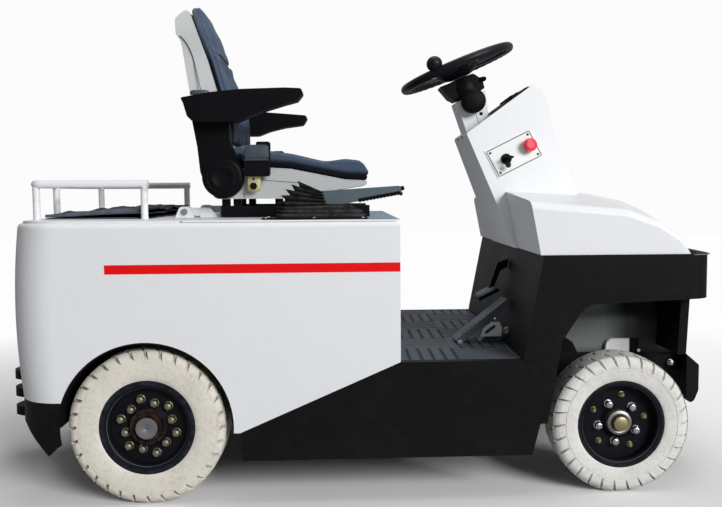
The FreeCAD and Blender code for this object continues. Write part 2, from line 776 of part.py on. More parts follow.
# ---------------------------------------------------------------------------------------------
# Footwell, cowl, hood and console
# ---------------------------------------------------------------------------------------------
def make_side_skirts():
    """Black side skirts below the white body and beside the floor."""
    body = new_body("side_skirts")
    outline = [
        (from_rear(s.sill_at), s.sill_z - s.gap),
        (from_rear(s.sill_at) + 5, s.skirt_low_z),
        (from_rear(s.skirt_toe_at), s.skirt_low_z),
        (from_rear(s.skirt_front_at), s.cowl_leg_z),
        (from_rear(s.skirt_front_at), mat_z - s.gap),
        (body_front, mat_z - s.gap),
    ]
    pad_side(body, outline, inside, s.half_width)
    mirror_left_right(body)


def make_floor_pan():
    """Floor plate of the footwell, on the frame rails."""
    body = new_body("floor_pan")
    box(body, (body_front, from_rear(s.cowl_foot_at)), (-inside, inside), (s.rail_top_z, floor_z))


def make_floor_mat():
    """Ribbed rubber mat on the floor plate."""
    body = new_body("floor_mat")
    box(body, (body_front, from_rear(s.cowl_foot_at)), (-inside, inside), (floor_z, mat_z))


def front_plan(inset=0, back=None, set_back=0):
    """Plan outline of the front end: square at the back, bowed and rounded at the front."""
    half = s.half_width - inset
    tail = from_rear(s.cowl_foot_at) if back is None else back
    corner = front_x + s.nose_corner - inset - set_back
    middle = front_x + s.nose_middle - inset - set_back
    return [
        (tail, -half),
        (corner, -half, s.front_corner - inset),
        (middle, 0, s.front_bow),
        (corner, half, s.front_corner - inset),
        (tail, half),
    ]


def make_front_cowl():
    """Black front end: legs, bulkhead and the band that wraps round the nose."""
    body = new_body("front_cowl")
    wide = s.half_width + OVER
    pad_plan(body, front_plan(), s.cowl_leg_z, s.cowl_top_z)
    cut_plan(body, front_plan(s.skin, from_rear(s.cowl_foot_at) - OVER), 0, s.cowl_top_z + OVER)
    lean = s.cowl_top_at - s.cowl_foot_at
    behind = [
        (from_rear(s.cowl_foot_at) - OVER, 0),
        (from_rear(s.skirt_front_at), 0),
        (from_rear(s.skirt_front_at), mat_z),
        (from_rear(s.cowl_foot_at), mat_z),
        (from_rear(s.cowl_top_at), s.cowl_top_z),
        (from_rear(s.cowl_top_at), s.cowl_top_z + OVER),
        (from_rear(s.cowl_foot_at) - OVER, s.cowl_top_z + OVER),
    ]
    cut_side(body, behind, -wide, wide)
    nose = front_x + s.nose_middle + OVER
    arch = [
        (front_x - 214, s.cowl_leg_z),
        (front_x - 214, 0),
        (nose, 0),
        (nose, s.band_low_z),
        (front_x + 190, s.band_low_z, 40),
        (front_x - 110, s.band_low_z - 12, 60),
        (front_x - 175, 436, 60),
    ]
    cut_side(body, arch, -wide, wide)
    bulkhead = [
        (from_rear(s.cowl_foot_at), mat_z),
        (from_rear(s.cowl_foot_at) + s.skin, mat_z),
        (from_rear(s.cowl_foot_at) + s.skin + lean, s.cowl_top_z),
        (from_rear(s.cowl_top_at), s.cowl_top_z),
    ]
    pad_side(body, bulkhead, -inside, inside)


def make_front_apron():
    """Black front wall below the band, set back from it and leaning forward."""
    body = new_body("front_apron")
    back = front_x + s.apron_reach
    outline = [
        (back - s.apron_lean, s.apron_low_z),
        (back - s.apron_lean + s.skin, s.apron_low_z),
        (back + s.skin, s.band_low_z),
        (back, s.band_low_z),
    ]
    half = inside - s.front_corner
    pad_side(body, outline, -half, half)


def make_front_bumper():
    """Black bumper bar in front of the wheels, on the frame rails' ends."""
    body = new_body("front_bumper")
    back = -s.bumper_deep
    outline = side_view(bumper_face, (
        (back, 214), (back + 12, 206, 10), (back + 24, 208, 14), (0, 242, 22), (0, 320, 6), (back, 353),
    ))
    pad_side(body, outline, -s.bumper_half, s.bumper_half)


def hood_form(body, wall, low):
    """The hood's outer form drawn in by wall: lofted cross sections, leaning back, bowed nose."""
    back = from_rear(s.hood_back_at)
    half = s.half_width - s.hood_inset - wall
    shoulder, crown = s.hood_shoulder_z - wall, s.hood_crown_z - wall
    stations = (  # X, drop of the shoulders, drop of the crown, crown radius
        (back - OVER, 0, 0, 2500),
        (front_x + 5, 28, 4, 2000),
        (front_x + 95, 62, 16, 1500),
        (front_x + 150, 100, 32, 1100),
        (front_x + 185, 154, 48, 650),
        (front_x + 215, 222, 64, 400),
        (front_x + 255, 342, 108, 240),
        (front_x + s.nose_middle + OVER, 520, 208, 200),
    )
    base = s.cowl_top_z - 500
    sketches = []
    for x, shoulder_drop, crown_drop, bend in stations:
        sketch = new_sketch(body, "YZ_Plane", x)
        draw_outline(sketch, [
            (-half, base), (half, base), (half, shoulder - shoulder_drop, HOOD_SHOULDER - wall),
            (0, crown - crown_drop, bend), (-half, shoulder - shoulder_drop, HOOD_SHOULDER - wall),
        ])
        sketches.append(sketch)
    shape = body.newObject("PartDesign::AdditiveLoft", body.Name + "_loft")
    shape.Profile = sketches[0]
    shape.Sections = sketches[1:]
    shape.Ruled = True
    body.Tip = shape
    far = s.half_width + OVER
    top = s.hood_crown_z + OVER
    nose = front_x + s.nose_middle + OVER * 2
    around = rectangle((back - OVER * 2, nose), (-far, far))
    plan = front_plan(s.hood_inset + wall, back - OVER * 1.5, s.hood_set_back)
    extrude(body, "Pocket", "XY_Plane", [around, plan], base - OVER, top)
    cut_plan(body, rectangle((back - OVER * 2, nose), (-far, far)), base - OVER, low)
    rise = top - s.cowl_top_z
    behind = [
        (back - OVER * 2, low - OVER),
        (back + wall, low - OVER),
        (back + wall, s.cowl_top_z),
        (back + wall - s.hood_lean * 1.5, s.cowl_top_z + rise),
        (back - OVER * 2, top),
    ]
    cut_side(body, behind, -far, far)


def make_front_hood():
    """White hood moulding, hollow underneath, with the console standing through it."""
    core = new_body("hood_core", node=False)
    hood_form(core, s.hood_wall, s.cowl_top_z - OVER)
    tower = new_body("hood_opening", node=False)
    console_form(tower, s.gap)
    body = new_body("front_hood")
    hood_form(body, 0, s.cowl_top_z)
    for name, tool in (("hood_hollow", core), ("hood_slot", tower)):
        cut = body.newObject("PartDesign::Boolean", name)
        cut.Type = "Cut"
        cut.addObject(tool)
        body.Tip = cut


def console_top(at):
    """Height of the console's sloping top at a place along it."""
    slope = (s.console_top_z - s.console_back_z) / (s.console_top_at - s.console_back_at)
    return s.console_back_z + (at - s.console_back_at) * slope


def console_form(body, grow):
    """The console's leaning tower, narrow at the top and wide at its foot, swelled by grow."""
    foot = s.cowl_top_z
    side = side_view(rear_x, (
        (s.hood_back_at - 8 - grow, foot),
        (s.console_back_at - grow, s.console_back_z, 8),
        (s.console_top_at, s.console_top_z + grow, 10),
        (s.console_top_at + 34 + grow, s.console_top_z - 28, 20),
        (s.console_top_at + 65 + grow, s.console_top_z - 173, 300),
        (s.console_front_at + grow, foot),
    ))
    half = s.console_low_half + grow
    pad_side(body, side, -half, half)
    top_half = s.console_top_half + grow
    flare = [
        (-half - OVER, foot - OVER), (-half, foot - OVER), (-half, foot), (-top_half, s.console_top_z),
        (-top_half, s.console_top_z + OVER), (-half - OVER, s.console_top_z + OVER),
    ]
    mirrored = [(-y, z) for y, z in flare]
    far = (s.console_back_at - OVER, s.console_front_at + OVER)
    extrude(body, "Pocket", "YZ_Plane", [flare, mirrored], from_rear(far[0]), from_rear(far[1]))


def make_console():
    """White console that carries the steering column."""
    console_form(new_body("console"), 0)


def make_instrument_panel():
    """Dark instrument panel on the console's sloping top."""
    body = new_body("instrument_panel")
    low, high = s.panel_back_at, s.console_top_at - 12
    outline = side_view(rear_x, (
        (low, console_top(low)), (high, console_top(high)),
        (high, console_top(high) + s.panel_lift), (low, console_top(low) + s.panel_lift),
    ))
    half = s.console_top_half - s.skin
    pad_side(body, outline, -half, half)


def down_column(along, across):
    """Side-view point this far down the steering axis from the wheel's centre and ahead of it."""
    lean = "Sizes.wheel_tilt * 1 deg"
    tilt = math.radians(s.wheel_tilt.value)
    sine, cosine = Size(math.sin(tilt), "sin(%s)" % lean), Size(math.cos(tilt), "cos(%s)" % lean)
    return (
        from_rear(s.wheel_at + sine * along + cosine * across),
        s.wheel_z - cosine * along + sine * across,
    )


def make_steering_column():
    """White column housing between the console's top and the steering head."""
    body = new_body("steering_column")
    top = s.head_low + s.gap
    back, front = s.console_back_at + 13, s.panel_back_at - 2
    outline = [
        (from_rear(back), console_top(back)),
        down_column(top, -s.head_radius),
        down_column(top, s.head_radius),
        (from_rear(front), console_top(front)),
    ]
    pad_side(body, outline, -s.column_half, s.column_half)


def make_column_head():
    """Black steering head under the wheel, with the round switch cap on the column's right."""
    body = new_body("column_head")
    low, high, radius = -s.head_low, -s.head_high, s.head_radius
    revolve(body, [
        (0, low), (radius - 12, low), (radius, low + 12), (radius, high - 26), (radius - 8, high), (0, high),
    ], plane="XZ_Plane", axis="V_Axis")
    shroud = [
        (-77, high - 2), (-62, -80), (-48, -96), (30, -97), (55, -92), (58, -68), (46, -46), (38, high - 2),
    ]
    pad_side(body, shroud, -38, 38)
    cap = ("circle", -3, -s.head_low - 19, 37)
    face = -s.column_half - s.gap
    extrude(body, "Pad", "XZ_Plane", [cap], face - 32, face)
    place(body, from_rear(s.wheel_at), 0, s.wheel_z, s.wheel_tilt)


def make_steering_wheel():
    """Steering wheel: grip, hub pad and three spokes, with the spinner knob on its right."""
    body = new_body("steering_wheel")
    pad = s.hub_radius
    hub = [(0, -29), (pad - 34, -29), (pad, -12), (pad - 4, 4), (pad - 30, 10), (0, 10)]
    revolve(body, hub, plane="XZ_Plane", axis="V_Axis")
    grip = new_sketch(body, "XZ_Plane")
    draw_circle(grip, s.wheel_ring, 0, s.grip)
    ring = body.newObject("PartDesign::Revolution", "grip_ring")
    ring.Profile = grip
    ring.ReferenceAxis = (grip, ["V_Axis"])
    ring.Angle = 360
    body.Tip = ring
    half, reach = s.spoke_half, s.wheel_ring
    box(body, (0, reach), (-half, half), (-12, -4))
    box(body, (-half, half), (-reach, reach), (-12, -4))
    turn = "Sizes.knob_turn * 1 deg"
    angle = math.radians(s.knob_turn.value)
    ahead, left = Size(math.cos(angle), "cos(%s)" % turn), Size(math.sin(angle), "sin(%s)" % turn)
    knob = ("circle", ahead * reach, left * reach, s.knob_radius)
    extrude(body, "Pad", "XY_Plane", [knob], 0, s.knob_tall)
    place(body, from_rear(s.wheel_at), 0, s.wheel_z, s.wheel_tilt)


def on_console_side(body):
    """Lay a body, drawn standing with its face along -Y, on the console's right side."""
    fall = (s.console_low_half - s.console_top_half) / (s.console_top_z - s.cowl_top_z)
    y = s.console_top_half + fall * (s.console_top_z - s.control_z)
    lean = math.degrees(math.atan(fall.value))
    turn = Rotation(Vector(1, 0, 0), -lean) * Rotation(Vector(0, -1, 0), s.control_turn.value)
    body.Placement = Placement(Vector(from_rear(s.control_at).value, -y.value, s.control_z.value), turn)


def make_control_plate():
    """Control plate on the console's right side."""
    body = new_body("control_plate")
    tall = s.control_half * 0.6
    box(body, (-s.control_half, s.control_half), (-s.control_thick, 0), (-tall, tall))
    on_console_side(body)


def make_stop_button():
    """Red mushroom stop button on the control plate: (out from the plate, radius) profile."""
    body = new_body("stop_button")
    profile = [(0, 0), (0, 12), (12, 12), (12, 20), (24, 21), (30, 12), (30, 0)]
    sketch = new_sketch(body, "YZ_Plane", s.control_half * 0.65)
    draw_outline(sketch, [(-s.control_thick - along, radius) for along, radius in profile])
    feature = body.newObject("PartDesign::Revolution", "stop_turned")
    feature.Profile = sketch
    feature.ReferenceAxis = (sketch, ["H_Axis"])
    feature.Angle = 360
    body.Tip = feature
    on_console_side(body)


def make_pedals():
    """Organ-type accelerator with its sensor box, and the brake pedal hung from the bulkhead."""
    body = new_body("accelerator_pedal")
    plate = side_view(rear_x, (
        (880, mat_z), (893, mat_z), (1041, 505), (1028, 517), (872, mat_z + 8),
    ))
    pad_side(body, plate, -230, -150)
    sensor = side_view(rear_x, ((950, mat_z), (1016, mat_z), (1012, mat_z + 44), (985, mat_z + 40)))
    pad_side(body, sensor, -212, -168)
    brake = new_body("brake_pedal")
    arm = side_view(rear_x, (
        (996, 518), (1008, 512), (1040, 590), (1061, 600), (1066, 628), (1030, 616),
    ))
    pad_side(brake, arm, -72, -60)
    pad = side_view(rear_x, ((966, 497), (1030, 528), (1026, 538), (962, 507)))
    pad_side(brake, pad, -110, -22)


# ---------------------------------------------------------------------------------------------
# Seat
# ---------------------------------------------------------------------------------------------
def backrest_sides(body, inset):
    """Taper the backrest in front view: wide at the armrests, waisted above, round at the top."""
    half, top = s.back_half - inset, s.back_top_z - inset
    right = [(half, 900), (half, 1105, 150), (half - 64, 1250, 200), (half - 76, 1335, 150),
             (half - 112, 1405, 60), (50, top, 80)]
    left = [(-corner[0],) + tuple(corner[1:]) for corner in reversed(right)]
    around = rectangle((-OVER * 5, OVER * 5), (as_size(900) - OVER, top + OVER))
    cut = extrude(body, "Pocket", "YZ_Plane", [around, right + left], rear_x, from_rear(300))
    return cut


def make_seat():
    """Seat on its rails: pan, cushion, back shell, back cushion, recliners, armrests, buckles."""
    rails = new_body("seat_rails")
    rail_top = lid_z + 34
    for side in (-1, 1):
        middle = side * s.seat_rail_y
        box(rails, (from_rear(172), from_rear(614)), (middle - 20, middle + 20), (lid_z, rail_top))
        for at in (174, 208, 332):
            box(rails, (from_rear(at), from_rear(at + 23)), (middle - 12, middle + 12),
                (rail_top, s.pan_low_z - s.gap / 2))
    pan = new_body("seat_pan")
    outline = side_view(rear_x, (
        (150, s.pan_low_z, 20), (358, s.pan_low_z, 60), (606, 866, 5), (606, 878), (541, 881),
        (382, 913), (324, 917), (262, 917), (150, 917, 20),
    ))
    pad_side(pan, outline, -s.seat_half, s.seat_half)
    cushion = new_body("seat_cushion")
    outline = side_view(rear_x, (
        (206, 918), (262, 918), (324, 918), (382, 914), (541, 882), (602, 879, 4), (611, 905, 14),
        (592, 935, 16), (542, 941, 40), (481, 934, 90), (383, 957, 80), (325, 964, 50), (240, 984, 30),
        (206, 984),
    ))
    pad_side(cushion, outline, 6 - s.seat_half, s.seat_half - 6)
    shell = new_body("backrest_shell")
    outline = side_view(rear_x, (
        (150, 918.5), (124, 940, 30), (104, 1020, 60), (87, 1134, 200), (66, 1227, 200), (52, 1300, 30),
        (37, 1322, 12), (31, 1372, 14), (66, 1411, 12), (98, 1331, 400), (131, 1244, 400),
        (165, 1143, 300), (186, 1050, 200), (186, 985), (205, 985), (205, 918.5),
    ))
    pad_side(shell, outline, -s.seat_half, s.seat_half)
    backrest_sides(shell, 0)
    back = new_body("backrest_cushion")
    outline = side_view(rear_x, (
        (187, 986), (187, 1051, 200), (166, 1143, 300), (132, 1244, 400), (99, 1331, 400), (67, 1411, 12),
        (82, 1436, 12), (106, 1404, 40), (127, 1348, 90), (139, 1297, 60), (169, 1227, 90),
        (192, 1170, 120), (212, 1085, 120), (212, 986),
    ))
    pad_side(back, outline, -s.seat_half, s.seat_half)
    backrest_sides(back, 4)
    recliners = new_body("recliner_covers")
    face = s.seat_half + s.gap / 2
    disc = ("circle", from_rear(187), 890, 60)
    extrude(recliners, "Pad", "XZ_Plane", [disc], face, face + 34)
    cheek = side_view(rear_x, (
        (98, 1062, 10), (113, 978, 100), (120, 905, 40), (143, 846, 30), (175, 826, 20), (215, 834, 20),
        (244, 880, 20), (234, 930, 20), (206, 1000, 20), (206, 1062, 10),
    ))
    pad_side(recliners, cheek, face, face + 20)
    mirror_left_right(recliners)
    arms = new_body("armrests")
    right_arm = side_view(rear_x, (
        (78, 1114, 4), (159, 1129, 300), (248, 1138, 300), (371, 1142, 300), (419, 1140, 10), (424, 1125, 8),
        (408, 1105, 8), (371, 1095, 100), (302, 1074, 100), (236, 1046, 20), (112, 1046, 14),
        (96, 1062, 12), (86, 1098),
    ))
    left_arm = side_view(rear_x, (
        (78, 1116, 4), (159, 1128, 300), (248, 1130, 300), (330, 1124, 300), (404, 1118, 8), (411, 1108, 8),
        (396, 1084, 10), (329, 1075, 100), (277, 1062, 100), (236, 1046, 20), (112, 1046, 14),
        (96, 1062, 12), (86, 1098),
    ))
    inner, outer = s.arm_y - s.arm_half, s.arm_y + s.arm_half
    pad_side(arms, right_arm, -outer, -inner)
    pad_side(arms, left_arm, inner, outer)
    bracket = side_view(rear_x, ((112, 1066), (190, 1066), (190, 1110), (112, 1110)))
    for side in (-1, 1):
        y = (face, s.arm_y) if side > 0 else (-s.arm_y, -face)
        pad_side(arms, bracket, y[0], y[1])
    buckles = new_body("belt_buckles")
    stalk = rectangle((from_rear(285), from_rear(315)), (900, 930))
    upright = rectangle((from_rear(250), from_rear(324)), (892, 972), 8)
    head = rectangle((from_rear(285), from_rear(325)), (964, 992), 6)
    pad_side(buckles, stalk, face, face + 22)
    for outline in (upright, head):
        pad_side(buckles, outline, face + 21, face + 46)
    mirror_left_right(buckles)


def make_brake_lever():
    """Parking brake: base plate, folded bellows and the lever's sleeve."""
    plate = new_body("lever_base")
    plate_z = lid_z + 4
    box(plate, (from_rear(315), from_rear(601)), (s.lever_y - 46, s.lever_y + 46), (lid_z, plate_z))
    boot = new_body("lever_boot")
    fan = side_view(rear_x, (
        (349, plate_z), (586, plate_z), (588, 786, 6), (557, 804, 12), (541, 812), (461, 811.5),
        (473, 848), (455, 858, 10), (412, 882, 6), (385, 860, 30), (345, 806, 8),
    ))
    pad_side(boot, fan, s.lever_y - s.boot_half, s.lever_y + s.boot_half)
    lever = new_body("brake_lever")
    sleeve = side_view(rear_x, (
        (461.6, 812.5), (541, 813), (600, 824, 100), (697, 841, 6), (692, 862, 8), (474, 848.5),
    ))
    pad_side(lever, sleeve, s.lever_y - s.lever_half, s.lever_y + s.lever_half)


# ---------------------------------------------------------------------------------------------
# Front axle, knuckles and wheels
# ---------------------------------------------------------------------------------------------
def make_front_axle():
    """Front axle beam with a bored boss for the kingpin at each end."""
    body = new_body("front_axle")
    centre = s.front_tyre_radius
    half = s.beam_half
    box(body, (front_x - half, front_x + half), (-s.kingpin_y, s.kingpin_y), (centre - half, centre + half))
    for side in (-1, 1):
        boss = ("circle", front_x, side * s.kingpin_y, s.boss)
        extrude(body, "Pad", "XY_Plane", [boss], centre - s.boss_half, centre + s.boss_half)
    cut = s.kingpin_y + s.boss + OVER
    for side in (-1, 1):
        low, high = (s.kingpin_y, cut) if side > 0 else (-cut, -s.kingpin_y)
        bore = ("circle", front_x, side * s.kingpin_y, s.kingpin + s.pin_fit)
        extrude(body, "Pocket", "XY_Plane", [bore], 0, centre + s.boss_half + OVER)


def make_leaf_springs():
    """Leaf springs: three arched leaves a side between the beam and the rails."""
    body = new_body("leaf_springs")
    base = s.front_tyre_radius + s.beam_half
    middle = (s.rail_in + s.rail_out) / 2
    for reach, step in ((225, 0), (170, -8), (110, -16)):
        rise = 30 * (reach / 225.0)
        leaf = [
            (front_x - reach, base + 26 + rise + step, ),
            (front_x, base + 16 + step, 400),
            (front_x + reach, base + 26 + rise + step),
            (front_x + reach, base + 33 + rise + step),
            (front_x, base + 23 + step, 400),
            (front_x - reach, base + 33 + rise + step),
        ]
        pad_side(body, leaf, middle - 20, middle + 20)
    box(body, (front_x - 35, front_x + 35), (middle - 24, middle + 24), (base, base + 30))
    for x in (-225, 225):
        box(body, (front_x + x - 12, front_x + x + 12), (middle - 20, middle + 20),
            (base + 50, s.rail_low_z))
    mirror_left_right(body)


def make_knuckle(side, name):
    """Steering knuckle: two ears on the kingpin, a plate, the spindle and the steering arm."""
    body = new_body(name)
    centre = s.front_tyre_radius
    y = side * s.kingpin_y
    plate_in = s.boss + 2
    plate_out = plate_in + 10
    low, high = (plate_in, plate_out) if side > 0 else (-plate_out, -plate_in)
    lowest = centre - s.boss_half - s.gap - s.ear
    highest = centre + s.boss_half + s.gap + s.ear
    box(body, (front_x - s.boss, front_x + s.boss), (y + low, y + high), (lowest, highest))
    near = -s.boss if side > 0 else -plate_in
    far = plate_in if side > 0 else s.boss
    for base in (lowest, highest - s.ear):
        box(body, (front_x - s.boss, front_x + s.boss), (y + near, y + far), (base, base + s.ear))
    tip = front_x - s.steer_arm
    box(body, (tip - 15, front_x), (y - 15, y + 15), (lowest, lowest + s.ear))
    pin = ("circle", front_x, y, s.kingpin)
    extrude(body, "Pad", "XY_Plane", [pin], lowest, highest)
    stud = ("circle", tip, y, 8)
    extrude(body, "Pad", "XY_Plane", [stud], lowest - 28, lowest)
    spindle = ("circle", front_x, centre, s.front_spindle)
    span = (s.kingpin_y + plate_out, s.front_wheel_y + 18)
    if side > 0:
        extrude(body, "Pad", "XZ_Plane", [spindle], span[0], span[1])
    else:
        extrude(body, "Pad", "XZ_Plane", [spindle], -span[1], -span[0])


def make_tie_rod():
    """Tie rod: a bar with an eye at each end, one fitted and one free on its stud."""
    body = new_body("tie_rod")
    x = front_x - s.steer_arm
    top = s.front_tyre_radius - s.boss_half - s.gap - s.ear - 4
    low = top - 22
    for side in (-1, 1):
        eye = ("circle", x, side * s.kingpin_y, 17)
        extrude(body, "Pad", "XY_Plane", [eye], low, top)
    bar = s.kingpin_y - 10
    box(body, (x - 9, x + 9), (-bar, bar), (low + 2, top - 2))
    left = ("circle", x, s.kingpin_y, 8 + s.pin_fit)
    right = ("circle", x, -s.kingpin_y, 9)
    extrude(body, "Pocket", "XY_Plane", [left, right], 0, top + OVER)


def make_wheel(corner, end, side):
    """One wheel: the tyre and the rim with its hub, turned about the axle."""
    rear = end == "rear"
    radius = s.rear_tyre_radius if rear else s.front_tyre_radius
    half = s.rear_tyre_half if rear else s.front_tyre_half
    x = rear_x if rear else front_x
    y = s.rear_wheel_y if rear else s.front_wheel_y
    spindle = s.rear_spindle if rear else s.front_spindle
    disc = half - (28 if rear else 40)
    lip = half - 5
    fit = 0.1
    step = 5.5
    tyre = new_body("tyre_" + corner)
    profile = [
        (step + fit - half + 5, s.seat_radius + fit), (half - 5 - step - fit, s.seat_radius + fit),
        (half - 5 - step - fit, s.lip_radius + 1), (half - 2, s.lip_radius + 1, 3),
        (half, (s.lip_radius + radius) / 2, 60), (half - 8, radius, 14),
        (8 - half, radius, 14), (-half, (s.lip_radius + radius) / 2, 60), (2 - half, s.lip_radius + 1, 3),
        (step + fit - half + 5, s.lip_radius + 1),
    ]
    revolve(tyre, profile)
    place(tyre, x, side * y, radius)
    rim = new_body("rim_" + corner)
    bore = spindle + s.pin_fit
    hub = spindle + 17
    inner = 32 - half if rear else 12 - half
    shelf = disc + 3
    cap = half + 3 if rear else disc + 28
    cap_radius = 28 if rear else 22
    profile = [
        (inner, bore), (inner, hub), (disc - 10, hub), (disc - 10, s.barrel_radius),
        (-lip, s.barrel_radius), (-lip, s.lip_radius), (step - lip, s.lip_radius),
        (step - lip, s.seat_radius), (lip - step, s.seat_radius), (lip - step, s.lip_radius),
        (lip, s.lip_radius), (lip, s.barrel_radius), (disc, s.barrel_radius - 4), (disc, hub + 10),
        (disc + 10, hub), (disc + 10, cap_radius), (cap, cap_radius), (cap, 0), (shelf, 0), (shelf, bore),
    ]
    revolve(rim, [(side * p[0],) + p[1:] for p in profile])
    place(rim, x, side * y, radius)


# ---------------------------------------------------------------------------------------------
# Build, check and write
# ---------------------------------------------------------------------------------------------
def build():
    """Make every piece of the tractor."""
    make_rear_body()
    make_fender_liners()
    make_rear_bumper()
    make_tow_hitch()
    make_cargo_rack()
    make_rear_deck()
    make_hinge_pins()
    make_battery_cover()
    make_seat_deck()
    make_chassis_frame()
    make_battery()
    make_rear_axle()
    make_side_skirts()
    make_floor_pan()
    make_floor_mat()
    make_front_cowl()
    make_front_apron()
    make_front_bumper()
    make_front_hood()
    make_console()
    make_instrument_panel()
    make_steering_column()
    make_column_head()
    make_steering_wheel()
    make_control_plate()
    make_stop_button()
    make_pedals()
    make_seat()
    make_brake_lever()
    make_front_axle()
    make_leaf_springs()
    make_tie_rod()
    for side, hand in ((-1, "right"), (1, "left")):
        make_knuckle(side, "knuckle_" + hand)
        for end in ("rear", "front"):
            make_wheel("%s_%s" % (end, hand), end, side)
    doc.recompute()


def write_parts():
    """Check each piece and write it as a STEP file named after its node."""
    for thing in doc.Objects:
        if "Invalid" in thing.State or "Error" in thing.State:
            raise RuntimeError("%s could not be built: %s" % (thing.Name, thing.State))
    os.makedirs("parts", exist_ok=True)
    for body in nodes:
        if body.Shape.isNull() or not body.Shape.isValid():
            raise RuntimeError("%s has no valid shape" % body.Label)
        body.Shape.exportStep(os.path.join("parts", body.Label + ".step"))


build()
write_parts()
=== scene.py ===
import json
import math

import bmesh
import bpy
import numpy as np
from mathutils import Matrix, Vector

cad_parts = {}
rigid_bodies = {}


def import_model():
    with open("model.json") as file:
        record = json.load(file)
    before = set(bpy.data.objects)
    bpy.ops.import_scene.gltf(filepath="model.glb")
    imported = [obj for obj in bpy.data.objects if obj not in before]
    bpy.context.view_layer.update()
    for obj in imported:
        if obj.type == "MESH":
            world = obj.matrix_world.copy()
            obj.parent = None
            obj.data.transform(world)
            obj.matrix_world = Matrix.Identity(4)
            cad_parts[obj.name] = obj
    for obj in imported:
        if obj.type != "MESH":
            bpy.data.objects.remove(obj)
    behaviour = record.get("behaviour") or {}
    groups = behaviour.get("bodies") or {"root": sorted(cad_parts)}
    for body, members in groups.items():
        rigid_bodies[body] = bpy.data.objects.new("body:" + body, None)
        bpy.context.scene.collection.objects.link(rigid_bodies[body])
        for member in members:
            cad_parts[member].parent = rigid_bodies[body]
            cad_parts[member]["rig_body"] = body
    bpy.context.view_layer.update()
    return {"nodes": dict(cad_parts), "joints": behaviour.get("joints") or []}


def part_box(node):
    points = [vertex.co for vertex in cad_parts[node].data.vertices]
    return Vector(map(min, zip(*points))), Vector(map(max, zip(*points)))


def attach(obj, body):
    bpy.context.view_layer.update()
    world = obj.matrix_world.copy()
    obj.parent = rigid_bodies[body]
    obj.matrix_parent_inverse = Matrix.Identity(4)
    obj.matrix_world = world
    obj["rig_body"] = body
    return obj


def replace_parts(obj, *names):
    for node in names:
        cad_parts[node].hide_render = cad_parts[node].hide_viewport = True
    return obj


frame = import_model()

# Electric tow tractor: finishes for the machined and pressed pieces, and the detailed pieces that
# stand in for the plain ones. Metres, +X forward, +Y to the driver's left, +Z up.

SIDES = (1, -1)      # left, right


def axle_of(tyre):
    """Side-view place (x, z) of the axle that a tyre on the floor turns about."""
    low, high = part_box(tyre)
    return (low[0] + high[0]) / 2, high[2] / 2


REAR_AXLE = REAR_X, REAR_Z = axle_of("tyre_rear_left")
FRONT_AXLE = axle_of("tyre_front_left")


def joint(name):
    """Place and axis of a joint, as arrays."""
    found = next(j for j in frame["joints"] if j["name"] == name)
    return np.array(found["pos_m"], float), np.array(found["axis"], float)


def side_x(reach):
    """Fore-and-aft place given in millimetres from the rear axle."""
    return REAR_X + reach / 1000


def on_side(run, y):
    """A side-view run of (reach, height), height in millimetres from the floor, laid out at y."""
    return [(side_x(reach), y, height / 1000) for reach, height in run]


def wheel_place(corner):
    """A wheel's middle, half the width of its tyre and the tyre's radius."""
    low, high = (np.array(v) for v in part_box("tyre_" + corner))
    half = (high - low) / 2
    return low + half, half[1], half[2]


# ---------------------------------------------------------------------------------------------
# Surfaces: grids of points worked out as whole arrays
# ---------------------------------------------------------------------------------------------
class Shape:
    """Points and faces of one piece, gathered grid by grid."""

    def __init__(self):
        self.points = np.empty((0, 3))
        self.faces = np.empty((0, 4), int)

    def grid(self, points, round_rows=False, round_cols=False):
        """Adds a grid (rows, columns, 3): neighbours are joined, round ones close on themselves."""
        rows, cols = points.shape[:2]
        index = len(self.points) + np.arange(rows * cols).reshape(rows, cols)
        self.points = np.vstack([self.points, points.reshape(-1, 3)])
        if round_rows:
            index = np.vstack([index, index[:1]])
        if round_cols:
            index = np.hstack([index, index[:, :1]])
        corners = (index[:-1, :-1], index[:-1, 1:], index[1:, 1:], index[1:, :-1])
        self.faces = np.vstack([self.faces, np.stack(corners, axis=-1).reshape(-1, 4)])
        return self

    def add(self, other):
        """Takes in another shape's points and faces."""
        self.faces = np.vstack([self.faces, other.faces + len(self.points)])
        self.points = np.vstack([self.points, other.points])
        return self

    def copies(self, tables, places):
        """The shape repeated: each copy turned by a 3 x 3 table and moved to a place."""
        tables, places = np.asarray(tables, float), np.asarray(places, float)
        moved = np.einsum("pk,nki->npi", self.points, tables) + places[:, None, :]
        step = len(self.points) * np.arange(len(places))[:, None, None]
        many = Shape()
        many.points = moved.reshape(-1, 3)
        many.faces = (self.faces[None] + step).reshape(-1, 4)
        return many

    def dotted(self, places):
        """The shape repeated unturned at each of the places."""
        return self.copies([np.eye(3)] * len(places), places)

    def laid(self, table, place):
        """The shape turned by one table and moved to one place."""
        return self.copies([table], [place])

    def at(self, place, up=(0, 0, 1), ahead=(1, 0, 0)):
        """The shape with its Z along up, its X nearest ahead, and its origin at place."""
        return self.laid(standing(up, ahead), place)

    def piece(self, name, body, finish, slot, sharp=35):
        """The shape as an object that rides on a body: poles and seams merged, faces outward."""
        mesh = bpy.data.meshes.new(name)
        mesh.from_pydata(self.points.tolist(), [], self.faces.tolist())
        return put(name, merged(mesh, 1e-6, outward=True), body, finish, sharp)


def merged(mesh, gap, outward=False):
    """A mesh with its doubled points made one and, if outward, its faces turned outward."""
    work = bmesh.new()
    work.from_mesh(mesh)
    bmesh.ops.remove_doubles(work, verts=work.verts, dist=gap)
    if outward:
        bmesh.ops.recalc_face_normals(work, faces=work.faces)
    work.to_mesh(mesh)
    work.free()
    return mesh


